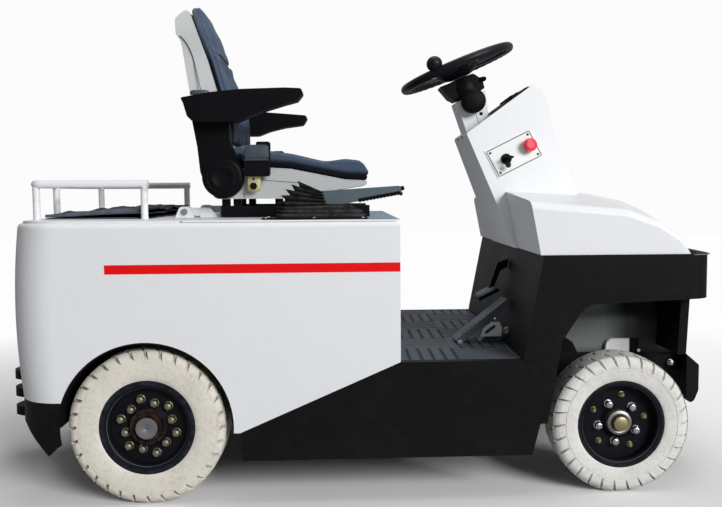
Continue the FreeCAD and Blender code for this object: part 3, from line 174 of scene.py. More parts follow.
def put(name, mesh, body, finish, sharp):
    """An object for a finished mesh, riding on a body, smooth but for edges over sharp degrees."""
    mesh.shade_smooth()
    mesh.set_sharp_from_angle(angle=math.radians(sharp))
    mesh.materials.clear()
    mesh.materials.append(FINISHES[finish])
    holder = bpy.data.objects.new(name, mesh)
    bpy.context.collection.objects.link(holder)
    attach(holder, body)
    return holder


def thicken(sheet, thickness, offset):
    """Gives a sheet its thickness: offset -1 is inward of its faces and 0 is to both sides."""
    wall = sheet.modifiers.new("wall", "SOLIDIFY")
    wall.thickness, wall.offset = thickness, offset


def unit(v):
    """The direction of a vector, or of each row of a table of them."""
    v = np.asarray(v, float)
    return v / np.linalg.norm(v, axis=-1, keepdims=True)


def standing(up, ahead=(1, 0, 0)):
    """Table whose rows are local X, Y and Z: Z along up, X the part of ahead square to it."""
    z = unit(up)
    x = unit(np.asarray(ahead, float) - np.dot(ahead, z) * z)
    return np.array([x, np.cross(z, x), z])


def sloping(run):
    """Table of a board that rises forwards: X along its run, Y to the left, Z off its upper face."""
    x = unit(run)
    return np.array([x, (0, 1, 0), (-x[2], 0, x[0])])


def about_z(degrees):
    """Table that turns a shape about its own Z."""
    c, s = math.cos(math.radians(degrees)), math.sin(math.radians(degrees))
    return np.array([[c, s, 0], [-s, c, 0], [0, 0, 1]])


def turned(profile, around):
    """Surface of revolution about Z: each (radius, height) of the profile swept through a turn."""
    radius, height = np.array(profile, float).T
    angle = np.linspace(0, 2 * np.pi, around, endpoint=False)
    x = radius[:, None] * np.cos(angle)
    y = radius[:, None] * np.sin(angle)
    return Shape().grid(np.stack([x, y, np.broadcast_to(height[:, None], x.shape)], -1), round_cols=True)


def drum(radius, low, high, around):
    """Plain round disc or pin between two heights."""
    return turned([(0, low), (radius, low), (radius, high), (0, high)], around)


def closed_tube(rings):
    """A run of closed rings (ring, point, 3) made a solid: each end is drawn to its own middle."""
    ends = np.repeat(rings[[0, -1]].mean(axis=1, keepdims=True), rings.shape[1], axis=1)
    return Shape().grid(np.concatenate([ends[:1], rings, ends[1:]]), round_cols=True)


def rounded(half, deep, soft, around):
    """Closed rounded rectangle about the origin: |x / half|^soft + |y / deep|^soft = 1."""
    t = np.linspace(0, 2 * np.pi, around, endpoint=False)
    c, s = np.cos(t), np.sin(t)
    power = 2.0 / soft
    return np.stack([half * np.sign(c) * np.abs(c) ** power, deep * np.sign(s) * np.abs(s) ** power], -1)


def block(size, soft, edge, around=28):
    """Rounded block from z = 0 to its height: rounded rectangles drawn in along the top edge."""
    long, wide, tall = size
    inset = edge * min(long, wide)
    rows = ((0, 0), (0, tall - 0.6 * inset), (0.3, tall - 0.15 * inset), (1, tall))    # share drawn in, height
    rings = [np.column_stack([rounded(long / 2 - draw * inset, wide / 2 - draw * inset, soft, around),
                              np.full(around, height)]) for draw, height in rows]
    return closed_tube(np.array(rings))


def slab(outline, levels):
    """Plate with a side-view outline (reach, height), drawn to its middle by the share of each level.

    A level is (share, y): its ring is middle + share (outline - middle), laid out at y.
    """
    outline = np.asarray(outline, float)
    share, y = np.array(levels, float).T
    reach, height = np.moveaxis(outline.mean(0) + share[:, None, None] * (outline - outline.mean(0)), -1, 0)
    return closed_tube(np.stack([side_x(reach), y[:, None] + 0 * reach, height / 1000], -1))


def hex_head(across, tall):
    """Hexagon head or nut: six flats, the top corners chamfered."""
    r = across / math.sqrt(3)
    return turned([(0, 0), (r, 0), (r, 0.8 * tall), (0.86 * r, tall), (0, tall)], around=6)


def nut_and_stud(across, tall, stud, proud):
    """Nut on a washer with the end of its stud standing out of it."""
    washer, end = 0.12 * tall, tall + proud
    shape = drum(0.62 * across, 0, washer, 18)
    shape.add(hex_head(across, tall).at((0, 0, washer)))
    shape.add(turned([(0.46 * across, tall), (0.40 * across, tall + 0.35 * proud), (stud, tall + 0.5 * proud)], 14))
    return shape.add(turned([(stud, tall * 0.9), (stud, end - 0.001), (stud * 0.8, end), (0, end)], around=12))


def dome_screw(radius, tall):
    """Low round head of a screw: a quarter of an ellipse turned about Z."""
    t = np.linspace(0, np.pi / 2, 5)
    return turned([(0, 0), *zip(radius * np.cos(t), tall * np.sin(t))], around=14)


def swept(path, section, up=(0, 1, 0)):
    """A section carried along a path, its X square to the path and its Y along up; ends closed."""
    path = np.asarray(path, float)
    y = np.broadcast_to(np.asarray(up, float), path.shape)
    x = unit(np.cross(y, unit(np.gradient(path, axis=0))))
    return closed_tube(path[:, None] + section[None, :, :1] * x[:, None] + section[None, :, 1:] * y[:, None])


def bezier(points, steps):
    """Smooth run through control points: a Bezier curve of their whole list."""
    points = np.asarray(points, float)
    t = np.linspace(0, 1, steps)[:, None]
    order = len(points) - 1
    return sum(math.comb(order, i) * t ** i * (1 - t) ** (order - i) * points[i] for i in range(order + 1))


def smooth_step(value, low, high):
    """0 below low, 1 above high, and 3t^2 - 2t^3 between."""
    t = np.clip((value - low) / (high - low), 0, 1)
    return t * t * (3 - 2 * t)


# ---------------------------------------------------------------------------------------------
# Shared effects: node groups with named inputs and outputs
# ---------------------------------------------------------------------------------------------
class Nodes:
    """Short ways to add and join nodes in a material or a group."""

    def __init__(self, tree):
        self.tree = tree

    def add(self, kind, inputs=None, **settings):
        """A node of a kind, with its settings, and its inputs given as numbers or sockets."""
        node = self.tree.nodes.new(kind)
        for name, value in settings.items():
            setattr(node, name, value)
        for name, value in (inputs or {}).items():
            self.feed(node.inputs[name], value)
        return node

    def feed(self, socket, value):
        """Joins a socket to an input, or sets the input to a number or colour."""
        if isinstance(value, bpy.types.NodeSocket):
            self.tree.links.new(value, socket)
        else:
            socket.default_value = value

    def group(self, tree, **inputs):
        """The outputs of a node group placed with these inputs."""
        node = self.add("ShaderNodeGroup", node_tree=tree)
        for label, value in inputs.items():
            self.feed(node.inputs[label], value)
        return node.outputs

    def math(self, operation, a, b=0.0, clamp=False):
        """One step of arithmetic on one or two values."""
        return self.add("ShaderNodeMath", {0: a, 1: b}, operation=operation, use_clamp=clamp).outputs[0]

    def times(self, a, b):
        """The product of two values."""
        return self.math("MULTIPLY", a, b)

    def plus(self, a, b, clamp=False):
        """The sum of two values."""
        return self.math("ADD", a, b, clamp)

    def distance(self, a, b):
        """The root of a squared plus b squared."""
        return self.math("SQRT", self.plus(self.times(a, a), self.times(b, b)))

    def cut(self):
        """The number that set_attribute stores at each point of a piece."""
        return self.add("ShaderNodeAttribute", attribute_name="cut").outputs["Fac"]

    def noise(self, where, scale, detail, rough):
        """Noise from 0 to 1 over a vector."""
        given = {"Vector": where, "Scale": scale, "Detail": detail, "Roughness": rough}
        return self.add("ShaderNodeTexNoise", given).outputs["Fac"]

    def spread(self, value, low, high, to_low=0.0, to_high=1.0):
        """to_low where the value is low, to_high where it is high, straight between."""
        given = {0: value, 1: low, 2: high, 3: to_low, 4: to_high}
        return self.add("ShaderNodeMapRange", given).outputs[0]

    def between(self, value, low, high, soft=0.0006):
        """1 between low and high, 0 outside, with edges this soft."""
        rise = self.spread(value, low - soft, low + soft)
        fall = self.spread(value, high - soft, high + soft, 1.0, 0.0)
        return self.times(rise, fall)

    def blend(self, mask, a, b):
        """Colour a where the mask is 0 and b where it is 1."""
        node = self.add("ShaderNodeMix", data_type="RGBA")
        for socket, value in ((0, mask), (6, a), (7, b)):
            self.feed(node.inputs[socket], value)
        return node.outputs[2]

    def place(self):
        """Object coordinates as one vector and as X, Y and Z."""
        vector = self.add("ShaderNodeTexCoord").outputs["Object"]
        split = self.add("ShaderNodeSeparateXYZ", {0: vector}).outputs
        return vector, split["X"], split["Y"], split["Z"]


def new_group(name, inputs, outputs):
    """An empty node group with its sockets, as (tree, nodes, given, result)."""
    tree = bpy.data.node_groups.new(name, "ShaderNodeTree")
    for label, kind, value in inputs:
        socket = tree.interface.new_socket(label, in_out="INPUT", socket_type="NodeSocket" + kind)
        if value is not None:
            socket.default_value = value
    for label, kind in outputs:
        tree.interface.new_socket(label, in_out="OUTPUT", socket_type="NodeSocket" + kind)
    given = tree.nodes.new("NodeGroupInput").outputs
    result = tree.nodes.new("NodeGroupOutput").inputs
    return tree, Nodes(tree), given, result


def grime_group():
    """Dust and stain: a broad noise times a fine one, plus more of it low down near the floor."""
    tree, n, given, result = new_group("grime", [
        ("Place", "Vector", None), ("Clean", "Color", (0.8, 0.8, 0.8, 1)), ("Stain", "Color", (0.3, 0.3, 0.3, 1)),
        ("Scale", "Float", 6.0), ("Amount", "Float", 0.2), ("Low", "Float", 0.0),
    ], [("Color", "Color"), ("Mask", "Float")])
    height = n.add("ShaderNodeSeparateXYZ", {0: given["Place"]}).outputs["Z"]
    broad = n.noise(given["Place"], given["Scale"], 3.0, 0.55)
    fine = n.noise(given["Place"], n.times(given["Scale"], 9.0), 4.0, 0.6)
    both = n.times(n.spread(broad, 0.40, 0.75), n.spread(fine, 0.3, 0.75))
    near_floor = n.times(n.spread(height, 0.5, 0.12), n.times(fine, given["Low"]))
    mask = n.plus(n.times(both, given["Amount"]), near_floor, clamp=True)
    n.feed(result["Color"], n.blend(mask, given["Clean"], given["Stain"]))
    n.feed(result["Mask"], mask)
    return tree


def ripple_group():
    """Fine surface: noise as a height, and a slow drift of the roughness that rises with stain."""
    tree, n, given, result = new_group("ripple", [
        ("Place", "Vector", None), ("Scale", "Float", 200.0), ("Rough", "Float", 0.4),
        ("Drift", "Float", 0.12), ("Stain", "Float", 0.0),
    ], [("Height", "Float"), ("Roughness", "Float")])
    broad = n.noise(given["Place"], 7.0, 2.0, 0.5)
    shift = n.times(n.math("SUBTRACT", broad, 0.5), given["Drift"])
    dull = n.times(given["Stain"], 0.35)
    n.feed(result["Height"], n.noise(given["Place"], given["Scale"], 3.0, 0.6))
    n.feed(result["Roughness"], n.plus(given["Rough"], n.plus(shift, dull), clamp=True))
    return tree


def ring_group():
    """Distance from an axle line and the turn about it, from X and Z."""
    tree, n, given, result = new_group("ring", [
        ("Place", "Vector", None), ("Axle X", "Float", 0.0), ("Axle Z", "Float", 0.2),
    ], [("Radius", "Float"), ("Turn", "Float")])
    split = n.add("ShaderNodeSeparateXYZ", {0: given["Place"]}).outputs
    x = n.math("SUBTRACT", split["X"], given["Axle X"])
    z = n.math("SUBTRACT", split["Z"], given["Axle Z"])
    n.feed(result["Radius"], n.distance(x, z))
    n.feed(result["Turn"], n.math("ARCTAN2", z, x))
    return tree


GRIME, RIPPLE, RING = grime_group(), ripple_group(), ring_group()


class Finish:
    """One material: stained colour, drifting roughness and a fine bump, open to extra marks."""

    def __init__(self, name, colour, stain, rough, grain=200.0, bump=0.05, amount=0.25, scale=6.0,
                 low=0.0, **constants):
        self.material = bpy.data.materials.new(name)
        self.material.use_nodes = True
        self.n = Nodes(self.material.node_tree)
        self.shader = self.material.node_tree.nodes["Principled BSDF"]
        self.where, self.x, self.y, self.z = self.n.place()
        grime = self.n.group(GRIME, Place=self.where, Clean=(*colour, 1), Stain=(*stain, 1), Scale=scale,
                             Amount=amount, Low=low)
        ripple = self.n.group(RIPPLE, Place=self.where, Scale=grain, Rough=rough, Stain=grime["Mask"])
        self.colour, self.rough, self.height = grime["Color"], ripple["Roughness"], ripple["Height"]
        self.bump = bump
        for label, value in constants.items():
            self.shader.inputs[label.replace("_", " ")].default_value = value

    def ring(self, axle):
        """Radius and Turn of each point about an axle line, given as (x, z)."""
        return self.n.group(RING, Place=self.where, **{"Axle X": axle[0], "Axle Z": axle[1]})

    def patches(self, scale, detail, rough, low, high):
        """Blotches of a noise: 0 where it is under low, 1 where it is over high."""
        return self.n.spread(self.n.noise(self.where, scale, detail, rough), low, high)

    def raise_by(self, height):
        """Adds another height to the fine bump."""
        self.height = self.n.plus(self.height, height)

    def mark(self, mask, share, colour, rough=None):
        """Lays a share of another colour, and its roughness if given, where the mask is 1."""
        if share < 1:
            mask = self.n.times(mask, share)
        self.colour = self.n.blend(mask, self.colour, (*colour, 1))
        if rough is not None:
            self.rough = self.n.add("ShaderNodeMix", {0: mask, 2: self.rough, 3: rough}).outputs[0]
        return self

    def done(self):
        """Joins the finish to the shader and gives the material."""
        bumped = self.n.add("ShaderNodeBump", {"Height": self.height, "Strength": self.bump, "Distance": 0.001})
        self.n.feed(self.shader.inputs["Base Color"], self.colour)
        self.n.feed(self.shader.inputs["Roughness"], self.rough)
        self.n.feed(self.shader.inputs["Normal"], bumped.outputs["Normal"])
        return self.material


def white_enamel(name="white_enamel"):
    """Glossy white paint, a little dusty and dirtier near the floor."""
    return Finish(name, (0.80, 0.815, 0.835), (0.58, 0.59, 0.59), 0.44, 260.0, 0.04, amount=0.12, low=0.10,
                  Specular_IOR_Level=0.3, Coat_Weight=0.08, Coat_Roughness=0.15)


def body_white():
    """White enamel with the red stripe along each side of the rear body."""
    f = white_enamel("body_white")
    side = f.n.spread(f.n.math("ABSOLUTE", f.y), 0.4855, 0.4865)
    stripe = f.n.times(f.n.between(f.z, 0.631, 0.656), f.n.between(f.x, side_x(-98), side_x(700)))
    return f.mark(f.n.times(side, stripe), 1, (0.82, 0.0, 0.002), 0.25).done()


def deck_white_shaded_top():
    """White enamel whose flat top ahead of the seat carries a painted blue-grey reflection of darker surroundings.
    """
    f = white_enamel("deck_white_shaded_top")
    top, ahead = f.n.spread(f.z, 0.7711, 0.7716), f.n.spread(f.x, side_x(300), side_x(360))
    # painted reflection: blue-grey on the deck's flat top ahead of the seat
    return f.mark(f.n.times(top, ahead), 1, (0.17, 0.27, 0.33), 0.5).done()


def rack_white():
    """Enamelled tube, darker grey in patches on its underside."""
    f = white_enamel("rack_white")
    under = f.n.spread(f.z, 0.868, 0.860)
    return f.mark(f.n.times(f.patches(9.0, 3.0, 0.7, 0.50, 0.66), under), 0.6, (0.22, 0.22, 0.23), 0.6).done()


def black_enamel(name="black_enamel", colour=(0.003, 0.003, 0.004)):
    """Satin black paint, dusted grey near the floor."""
    return Finish(name, colour, (0.035, 0.034, 0.032), 0.50, 220.0, 0.06, amount=0.16, low=0.14,
                  Specular_IOR_Level=0.10, Coat_Weight=0.02, Coat_Roughness=0.15)


def rim_black(name, axle, hub, rust):
    """Black rim: oily rust inside radius hub, a painted grey-blue reflection on the lips, and a thin painted
    highlight ring on the flange.
    """
    f = black_enamel(name, (0.0025, 0.003, 0.006))
    radius = f.ring(axle)["Radius"]
    blotch = f.patches(60.0, 4.0, 0.7, 0.42, 0.62)
    f.mark(f.n.times(f.n.spread(radius, hub + 0.004, hub), blotch), rust, (0.055, 0.026, 0.016), 0.6)
    # painted reflection: grey-blue on the rim's lips
    lip_reflection = f.n.times(f.n.spread(radius, 0.112, 0.121), f.n.spread(blotch, 0.0, 1.0, 0.05, 0.3))
    f.mark(lip_reflection, 1, (0.06, 0.075, 0.10), 0.4)
    # painted highlight: a thin pale ring on the rim's flange
    return f.mark(f.n.between(radius, 0.1084, 0.1092, 0.0004), 0.5, (0.22, 0.235, 0.26), 0.35).done()


def tyre_cream(name, axle, colour):
    """Cream rubber: painted shade in the cuts, mottled walls, a scuffed tread and streaks round it.

    The tread is the outermost few millimetres of a wheel that stands on the floor, so its radius
    is the height of its axle.
    """
    f = Finish(name, colour, (0.47, 0.44, 0.38), 0.68, 130.0, 0.55, amount=0.85, scale=13.0,
               Specular_IOR_Level=0.3)
    # painted shade: darker grey in the cuts, the deeper the darker
    f.mark(f.n.cut(), 0.40, (0.46, 0.45, 0.42), 0.85)
    f.mark(f.patches(75.0, 4.0, 0.65, 0.50, 0.66), 0.30, (0.46, 0.43, 0.37))
    ring = f.ring(axle)
    tread = f.n.spread(ring["Radius"], axle[1] - 0.004, axle[1] - 0.0005)
    f.mark(f.n.times(tread, f.patches(26.0, 4.0, 0.7, 0.45, 0.7)), 0.35, (0.40, 0.39, 0.38))
    round_axle = f.n.add("ShaderNodeCombineXYZ", {0: ring["Turn"], 1: f.n.times(ring["Radius"], 40.0)}).outputs[0]
    streak = f.n.spread(f.n.noise(round_axle, 5.0, 3.0, 0.6), 0.52, 0.75)
    return f.mark(streak, 0.25, (0.50, 0.47, 0.40)).done()


def seat_vinyl():
    """Black-blue seat vinyl: pebbled grain, and a dark band of painted shade where the cut number says."""
    f = Finish("seat_vinyl", (0.065, 0.093, 0.140), (0.092, 0.122, 0.172), 0.52, 500.0, 0.10, amount=0.4,
               Specular_IOR_Level=0.08)
    f.raise_by(f.n.add("ShaderNodeTexVoronoi", {"Vector": f.where, "Scale": 420.0}).outputs["Distance"])
    # painted shade: near black where the cut number says
    return f.mark(f.n.cut(), 1, (0.0015, 0.002, 0.005), 0.52).done()


def bellows_rubber():
    """Black bellows rubber with a painted grey highlight in patches along the ridges of its folds."""
    f = Finish("bellows_rubber", (0.004, 0.004, 0.005), (0.02, 0.02, 0.02), 0.55, 300.0, 0.1, amount=0.3,
               Specular_IOR_Level=0.12)
    # painted highlight: grey on the fold ridges
    return f.mark(f.n.times(f.n.cut(), f.patches(40.0, 3.0, 0.6, 0.3, 0.6)), 0.30, (0.15, 0.15, 0.15), 0.7).done()


def cover_rubber():
    """Blue-black coated cloth of the folded cover: fine weave, painted highlight streaks and painted highlights
    along the folds.
    """
    f = Finish("cover_rubber", (0.007, 0.010, 0.024), (0.02, 0.025, 0.04), 0.62, 300.0, 0.2, amount=0.4, scale=12.0,
               Specular_IOR_Level=0.2)
    # painted highlight: paler blue-grey streaks in patches
    f.mark(f.patches(26.0, 3.0, 0.6, 0.52, 0.60), 0.6, (0.075, 0.085, 0.12), 0.5)
    warp, weft = (f.n.add("ShaderNodeTexWave", {"Vector": f.where, "Scale": 160.0}, bands_direction=way)
                  .outputs["Fac"] for way in "XY")
    f.raise_by(f.n.times(warp, weft))
    # painted highlight: pale lines on the fold edges
    return f.mark(f.n.cut(), 0.35, (0.20, 0.22, 0.26), 0.6).done()


def mat_rubber():
    """Grey-blue ribbed mat with trodden-in brown dust, and painted shade in the grooves between the ribs."""
    f = Finish("mat_rubber", (0.035, 0.050, 0.068), (0.115, 0.095, 0.075), 0.50, 240.0, 0.15, amount=1.0, scale=9.0,
               Specular_IOR_Level=0.3)
    # painted shade: near black in the grooves
    return f.mark(f.n.cut(), 0.75, (0.012, 0.013, 0.015), 0.8).done()


def turned_steel():
    """Bright steel faced on a lathe: fine rings about the rear axle line, sin(5200 radius) high."""
    f = Finish("turned_steel", (0.36, 0.36, 0.375), (0.14, 0.13, 0.12), 0.30, 300.0, 0.1, amount=0.7, scale=20.0,
               Metallic=1.0)
    rings = f.n.math("SINE", f.n.times(f.ring(REAR_AXLE)["Radius"], 5200.0))
    f.raise_by(f.n.times(rings, 0.5))
    return f.done()


def liner_grey():
    """Grey sheet inside the front arches, turning black towards the front."""
    f = Finish("liner_grey", (0.21, 0.235, 0.235), (0.07, 0.07, 0.07), 0.5, 200.0, 0.05, amount=0.4, scale=5.0)
    return f.mark(f.n.spread(f.x, side_x(1330), side_x(1400)), 1, (0.006, 0.006, 0.007), 0.5).done()


# each plain one: Finish(name, colour, stain, roughness, grain of the bump, its strength, ...)
FINISHES = {
    "white": white_enamel().done(),
    "body": body_white(),
    "rack": rack_white(),
    "deck": deck_white_shaded_top(),
    "black": black_enamel().done(),
    "plastic": Finish("black_plastic", (0.003, 0.003, 0.004), (0.02, 0.02, 0.024), 0.44, 600.0, 0.25,
                      amount=0.2, Specular_IOR_Level=0.08).done(),
    "grip": Finish("grip_black", (0.006, 0.007, 0.010), (0.03, 0.03, 0.035), 0.38, 500.0, 0.2, amount=0.25,
                   Specular_IOR_Level=0.18).done(),
    "grey": Finish("grey_plastic", (0.52, 0.54, 0.54), (0.36, 0.37, 0.36), 0.45, 420.0, 0.15, amount=0.35).done(),
    "seam": Finish("seam_dark", (0.06, 0.06, 0.06), (0.12, 0.12, 0.12), 0.7, 300.0, 0.1).done(),
    "lever": Finish("lever_grey", (0.070, 0.102, 0.118), (0.04, 0.055, 0.06), 0.48, 300.0, 0.2, amount=0.5).done(),
    "red": Finish("stop_red", (0.80, 0.03, 0.06), (0.5, 0.02, 0.03), 0.30, 300.0, 0.04, amount=0.2,
                  Coat_Weight=0.4).done(),
    "vinyl": seat_vinyl(),
    "rim_rear": rim_black("rim_rear", REAR_AXLE, 0.047, 0.9),
    "rim_front": rim_black("rim_front", FRONT_AXLE, 0.036, 0.5),
    "tyre_rear": tyre_cream("cream_rear", REAR_AXLE, (0.77, 0.735, 0.655)),
    "tyre_front": tyre_cream("cream_front", FRONT_AXLE, (0.76, 0.755, 0.725)),
    "steel": Finish("bright_steel", (0.62, 0.62, 0.64), (0.35, 0.33, 0.30), 0.26, 300.0, 0.05, amount=0.4,
                    Metallic=1.0).done(),
    "dull": Finish("dull_steel", (0.36, 0.35, 0.33), (0.14, 0.11, 0.09), 0.42, 300.0, 0.1, amount=0.8,
                   scale=25.0, Metallic=0.9).done(),
    "pedal": Finish("pedal_blue_grey", (0.045, 0.060, 0.078), (0.02, 0.025, 0.03), 0.45, 300.0, 0.15,
                    amount=0.5).done(),
    "liner": liner_grey(),
    # pale grey of the cords on the edges of the front band and of the sills
    "edge": Finish("edge_grey", (0.16, 0.17, 0.19), (0.05, 0.05, 0.05), 0.35, 300.0, 0.05, amount=0.6).done(),
    "spring": Finish("spring_silver", (0.88, 0.88, 0.89), (0.55, 0.55, 0.56), 0.5, 300.0, 0.3, amount=0.9,
                     scale=40.0).done(),
    "turned": turned_steel(),
    "brass": Finish("plated_brass", (0.50, 0.44, 0.24), (0.10, 0.07, 0.04), 0.30, 300.0, 0.1, amount=1.0,
                    scale=30.0, Metallic=1.0).done(),
    "zinc": Finish("olive_zinc", (0.42, 0.41, 0.30), (0.10, 0.08, 0.05), 0.28, 300.0, 0.1, amount=1.1,
                   scale=40.0, Metallic=1.0).done(),
    "yellow": Finish("yellow_zinc", (0.62, 0.57, 0.30), (0.35, 0.28, 0.15), 0.38, 200.0, 0.1, amount=0.6,
                     Metallic=0.6).done(),
    "silver": Finish("silver_paint", (0.74, 0.75, 0.76), (0.50, 0.50, 0.50), 0.5, 300.0, 0.15, amount=0.5).done(),
    "plate": Finish("plate_white", (0.80, 0.83, 0.82), (0.6, 0.6, 0.6), 0.35, 200.0, 0.03, amount=0.1).done(),
    "bellows": bellows_rubber(),
    "cover": cover_rubber(),
    "mat": mat_rubber(),
    "battery": Finish("battery_case", (0.03, 0.035, 0.045), (0.1, 0.1, 0.1), 0.6).done(),
    "blue": Finish("sensor_blue", (0.01, 0.02, 0.16), (0.02, 0.02, 0.05), 0.4).done(),
}

NODE_FINISH = (      # finish, the machined and pressed pieces that wear it
    ("body", "rear_body"),
    ("deck", "seat_deck"),
    ("white", "rear_deck front_hood console steering_column"),
    ("rack", "cargo_rack"),
    ("black", "side_skirts front_cowl front_apron rear_bumper tow_hitch front_bumper chassis_frame"
     " front_axle leaf_springs knuckle_left knuckle_right tie_rod rear_axle fender_liners lever_base"
     " seat_rails floor_pan"),
    ("plastic", "armrests recliner_covers belt_buckles instrument_panel brake_pedal column_head"),
    ("pedal", "accelerator_pedal"),
    ("grip", "steering_wheel"),
    ("mat", "floor_mat"),
    ("bellows", "lever_boot"),
    ("cover", "battery_cover"),
    ("grey", "backrest_shell seat_pan"),
    ("lever", "brake_lever"),
    ("red", "stop_button"),
    ("vinyl", "seat_cushion backrest_cushion"),
    ("tyre_front", "tyre_front_left tyre_front_right"),
    ("tyre_rear", "tyre_rear_left tyre_rear_right"),
    ("rim_front", "rim_front_left rim_front_right"),
    ("rim_rear", "rim_rear_left rim_rear_right"),
    ("steel", "hinge_pins"),
    ("plate", "control_plate"),
    ("battery", "battery"),
)
for finish_name, node_names in NODE_FINISH:
    for node_name in node_names.split():
        for holder in frame["nodes"][node_name].material_slots:
            holder.material = FINISHES[finish_name]


# ---------------------------------------------------------------------------------------------
# Wheels
# ---------------------------------------------------------------------------------------------
# where the columns of one lug and one cut stand, as shares of their pitch
CUT_COLUMNS = np.array([0, .09, .12, .18, .25, .32, .38, .41, .5, .59, .62, .68, .75, .82, .88, .91])
TYRE_CUTS = {"rear": (0.105, 0.0004), "front": (0.075, 0.0018)}    # half width of a cut, depth of the side line


def set_attribute(mesh, values):
    """Stores one number a point for the material to read."""
    layer = mesh.attributes.new("cut", "FLOAT", "POINT")
    layer.data.foreach_set("value", np.asarray(values, np.float32))


def tyre_section(half, radius, bead, groove_floor):
    """Half section of a tyre from the middle of the tread to the bead.

    Its parts are the slightly crowned tread, the rounded corner, the bulging side wall and the
    turn to the bead. Gives distance across, radius, depth of cut, and 1 at the fine side line.
    """
    tread = half * np.array([0, .12, .17, .32, .47, .62, .74, .82])
    corner = np.radians([84, 62, 40, 18])
    wall = np.concatenate([np.linspace(radius - 0.017, groove_floor, 5),
                           groove_floor - np.array([0.0035, 0.005, 0.0065]),
                           np.linspace(groove_floor - 0.012, bead + 0.004, 5)])
    bulge = (bead + radius) / 2
    lean = np.where(wall > bulge, (wall - bulge) / (radius - bulge), (bulge - wall) / (bulge - bead))
    across = np.concatenate([tread, half - 0.016 + 0.012 * np.cos(corner), half - 0.004 * lean ** 2,
                             half - np.array([0.0052, 0.006, 0.014])])
    height = np.concatenate([radius - 0.003 * (tread / half) ** 2, radius - 0.015 + 0.012 * np.sin(corner), wall,
                             bead + np.array([0.0015, 0, -0.002])])
    depth = np.concatenate([np.where(tread > 0.15 * half, 0.014, 0), np.full(4, 0.013),
                            np.linspace(0.012, 0.004, 5), np.zeros(11)])
    line = (np.arange(len(across)) == 18).astype(float)      # the row between the cuts and the lower wall
    return across, height, depth, line


def make_tyre(corner, end, lugs, bead, groove_floor, lean, body):
    """Solid cream tyre: its section swept round the axle, with a slanting cut between lugs.

    Row v steps along the section and column u round the axle. The surface sinks along the
    section's normal by depth(v) * pulse(u), where pulse is 1 inside a cut and 0 outside, and the
    columns slant by lean times the distance from the tread's middle. The cuts of the two
    shoulders are half a pitch apart.
    """
    middle, half, radius = wheel_place(corner)
    across, height, depth, line = tyre_section(half, radius, bead, groove_floor)
    cut_half, line_deep = TYRE_CUTS[end]
    steps = np.concatenate([[0], np.cumsum(np.hypot(np.diff(across), np.diff(height)))])[:, None]
    column = (np.arange(lugs)[:, None] + CUT_COLUMNS).ravel() * 2 * np.pi / lugs
    phase = np.tile(CUT_COLUMNS, lugs)
    normal = unit(np.stack([-np.gradient(height), np.gradient(across)], -1))
    halves, sunk = [], []
    for hand, first in ((1, 0.0), (-1, 0.5)):
        away = np.abs((phase - first + 0.5) % 1 - 0.5)
        sink = depth[:, None] * (away < cut_half) + line_deep * line[:, None]
        angle = column + lean * steps * np.where(steps > half * 0.8, 1.8, 1.0)
        r = height[:, None] - sink * normal[:, 1:]
        y = hand * (across[:, None] - sink * normal[:, :1])
        halves.append(np.stack([r * np.cos(angle), y, r * np.sin(angle)], -1))
        sunk.append(np.clip(sink / 0.012, 0, 1))
    points, marks = (np.concatenate([left[::-1], right[1:]]) for left, right in (halves, sunk))
    shape = Shape().grid(points + middle, round_rows=True, round_cols=True)
    piece = shape.piece("cream_tyre_" + corner, body, "tyre_" + end, "cream_tyre", sharp=32)
    # the cut number, 0 to 1 with a cut's depth, sets the painted shade in the cuts
    set_attribute(piece.data, marks.ravel())
    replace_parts(piece, "tyre_" + corner)


DISC_IN = {"rear": 0.028, "front": 0.040}      # the wheel's disc in from the tyre's side
WHEEL_NUTS = {  # end: (radius, first turn, count, across, tall, stud, proud, finish)
    "rear": ((0.0650, 15, 6, 0.0195, 0.013, 0.0055, 0.006, "zinc"),
             (0.0769, 45, 6, 0.0195, 0.013, 0.0055, 0.006, "zinc")),
    "front": ((0.057, 46, 5, 0.020, 0.014, 0.0060, 0.006, "steel"),
              (0.077, 10, 5, 0.014, 0.008, 0.0045, 0.005, "brass")),
}
HUB_PARTS = {  # end: (name, stand-off from the disc, steps round, finish, slot, profile)
    "rear": (("axle_end", 0.0302, 56, "turned", "pin_steel",
              [(0, 0), (0.0300, 0), (0.0300, 0.0008), (0.0286, 0.0028), (0.0045, 0.0028), (0, 0)]),
             ("hub_ring", 0.009, 56, "rim_rear", "black_rim",
              [(0.0405, 0), (0.0405, 0.004), (0.043, 0.0062), (0.049, 0.0062), (0.051, 0.004), (0.051, 0)])),
    "front": (("hub_cap", 0.026, 40, "brass", "pin_steel",
               [(0, 0), (0.0215, 0), (0.0215, 0.005), (0.0195, 0.0095), (0.012, 0.0115), (0, 0.012)]),
              ("grease_ring", 0.010, 48, "dull", "pin_steel",
               [(0.0225, 0), (0.0225, 0.012), (0.028, 0.014), (0.034, 0.011), (0.0355, 0)])),
}


